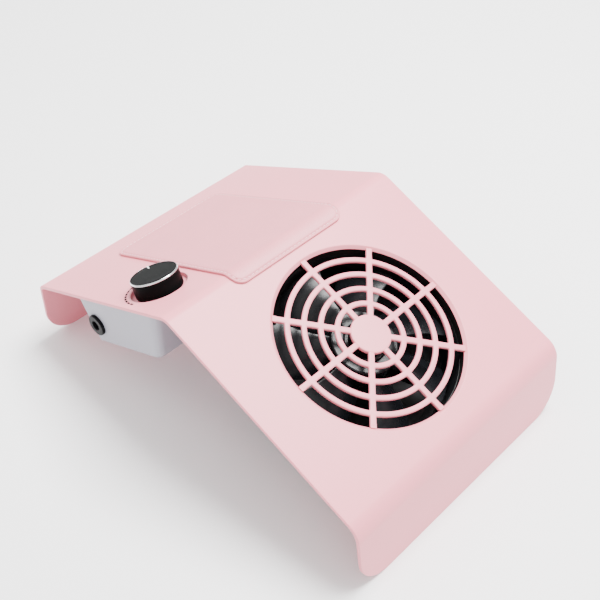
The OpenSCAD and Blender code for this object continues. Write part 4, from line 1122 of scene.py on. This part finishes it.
def printed_marks():
    """Dashes along a circle round the recess, each a thin curved plate of raised ink with closed ends."""
    middle = np.linspace(mark_first, mark_last, mark_count)
    half = 1.3 / mark_r
    a = middle[:, None, None] + half * np.linspace(-1, 1, 7)[None, :, None]
    r = mark_r + mark_w / 2 * np.array([-1, 1, 1, -1, -1])[None, None, :]
    z = np.array([-0.02, -0.02, mark_t, mark_t, -0.02]) + 0 * a + 0 * r
    rows = np.stack([-r * np.cos(a), r * np.sin(a), z], -1)
    ends = [rows[:, k:k + 1, :4].mean(2, keepdims=True) + 0 * rows[:, :1] for k in (0, 6)]
    rows = np.concatenate([ends[0], rows, ends[1]], 1)
    faces = grid_faces(9, 5) + 45 * np.arange(mark_count)[:, None, None]
    return placed(rows.reshape(-1, 3), knob_point, rear_axes), faces.reshape(-1, 4)


make_piece("dial_marks", [printed_marks()], "housing",
           plastic("dial_ink", (0.004, 0.003, 0.003), 0.6, mottle=0.1, mottle_scale=900,
                   Specular_IOR_Level=0.1), weighted=False)

# ---- Camera, floor and lights ----
# A plain pale floor and plain soft studio light; the camera looks down from the left front corner.

floor_size = 6.0
floor_mesh = bpy.data.meshes.new("floor")
floor_mesh.from_pydata([(-floor_size, -floor_size, 0), (floor_size, -floor_size, 0),
                        (floor_size, floor_size, 0),
                        (-floor_size, floor_size, 0)], [], [(0, 1, 2, 3)])
floor_mesh.materials.append(plastic("pale_floor", (0.96, 0.96, 0.96), 0.6, mottle=0.003, mottle_scale=4))
floor = bpy.data.objects.new("floor", floor_mesh)
bpy.context.scene.collection.objects.link(floor)


def aimed(obj, position, target, roll_deg=0.0):
    """Puts a camera or light at a place, looking at a point, turned by a roll about its own line of sight."""
    forward = Vector(target) - Vector(position)
    turn = Matrix.Rotation(np.radians(roll_deg), 4, forward.normalized())
    facing = forward.to_track_quat("-Z", "Y").to_matrix().to_4x4()
    obj.matrix_world = Matrix.Translation(position) @ turn @ facing
    bpy.context.scene.collection.objects.link(obj)
    return obj


def soft_light(name, position, target, size, power):
    """A square area light."""
    lamp = bpy.data.lights.new(name, "AREA")
    lamp.size, lamp.energy = size, power
    return aimed(bpy.data.objects.new(name, lamp), position, target)


soft_light("key_light", (0.50, -0.12, 1.40), (0, 0, 0.05), 0.8, 76)
soft_light("fill_light", (-1.4, -0.6, 0.8), (0, 0, 0.05), 1.0, 3)
soft_light("back_light", (-0.6, 1.1, 1.2), (0, 0, 0.05), 0.9, 4)

world = bpy.data.worlds.new("studio")
world.use_nodes = True
sky = world.node_tree.nodes
sky_place, sky_axes, sky_level = add_nodes(world, "TexCoord", "SeparateXYZ", "MapRange")
set_inputs(sky_level, To_Min=0.7, To_Max=1.75)
set_inputs(sky["Background"], Color=(1, 1, 1, 1))
wire(world, (sky_place, "Generated", sky_axes, "Vector"), (sky_axes, "Z", sky_level, "Value"),
     (sky_level, "Result", sky["Background"], "Strength"))
bpy.context.scene.world = world

lens_data = bpy.data.cameras.new("camera")
lens_data.sensor_width, lens_data.lens = 36, 59.5
lens_data.clip_start = 0.01
view_from = Vector((-0.3149, -0.3076, 0.4732))
camera = aimed(bpy.data.objects.new("camera", lens_data), view_from,
               view_from + Vector((0.527, 0.504, -0.6845)), 0.2)
bpy.context.scene.camera = camera
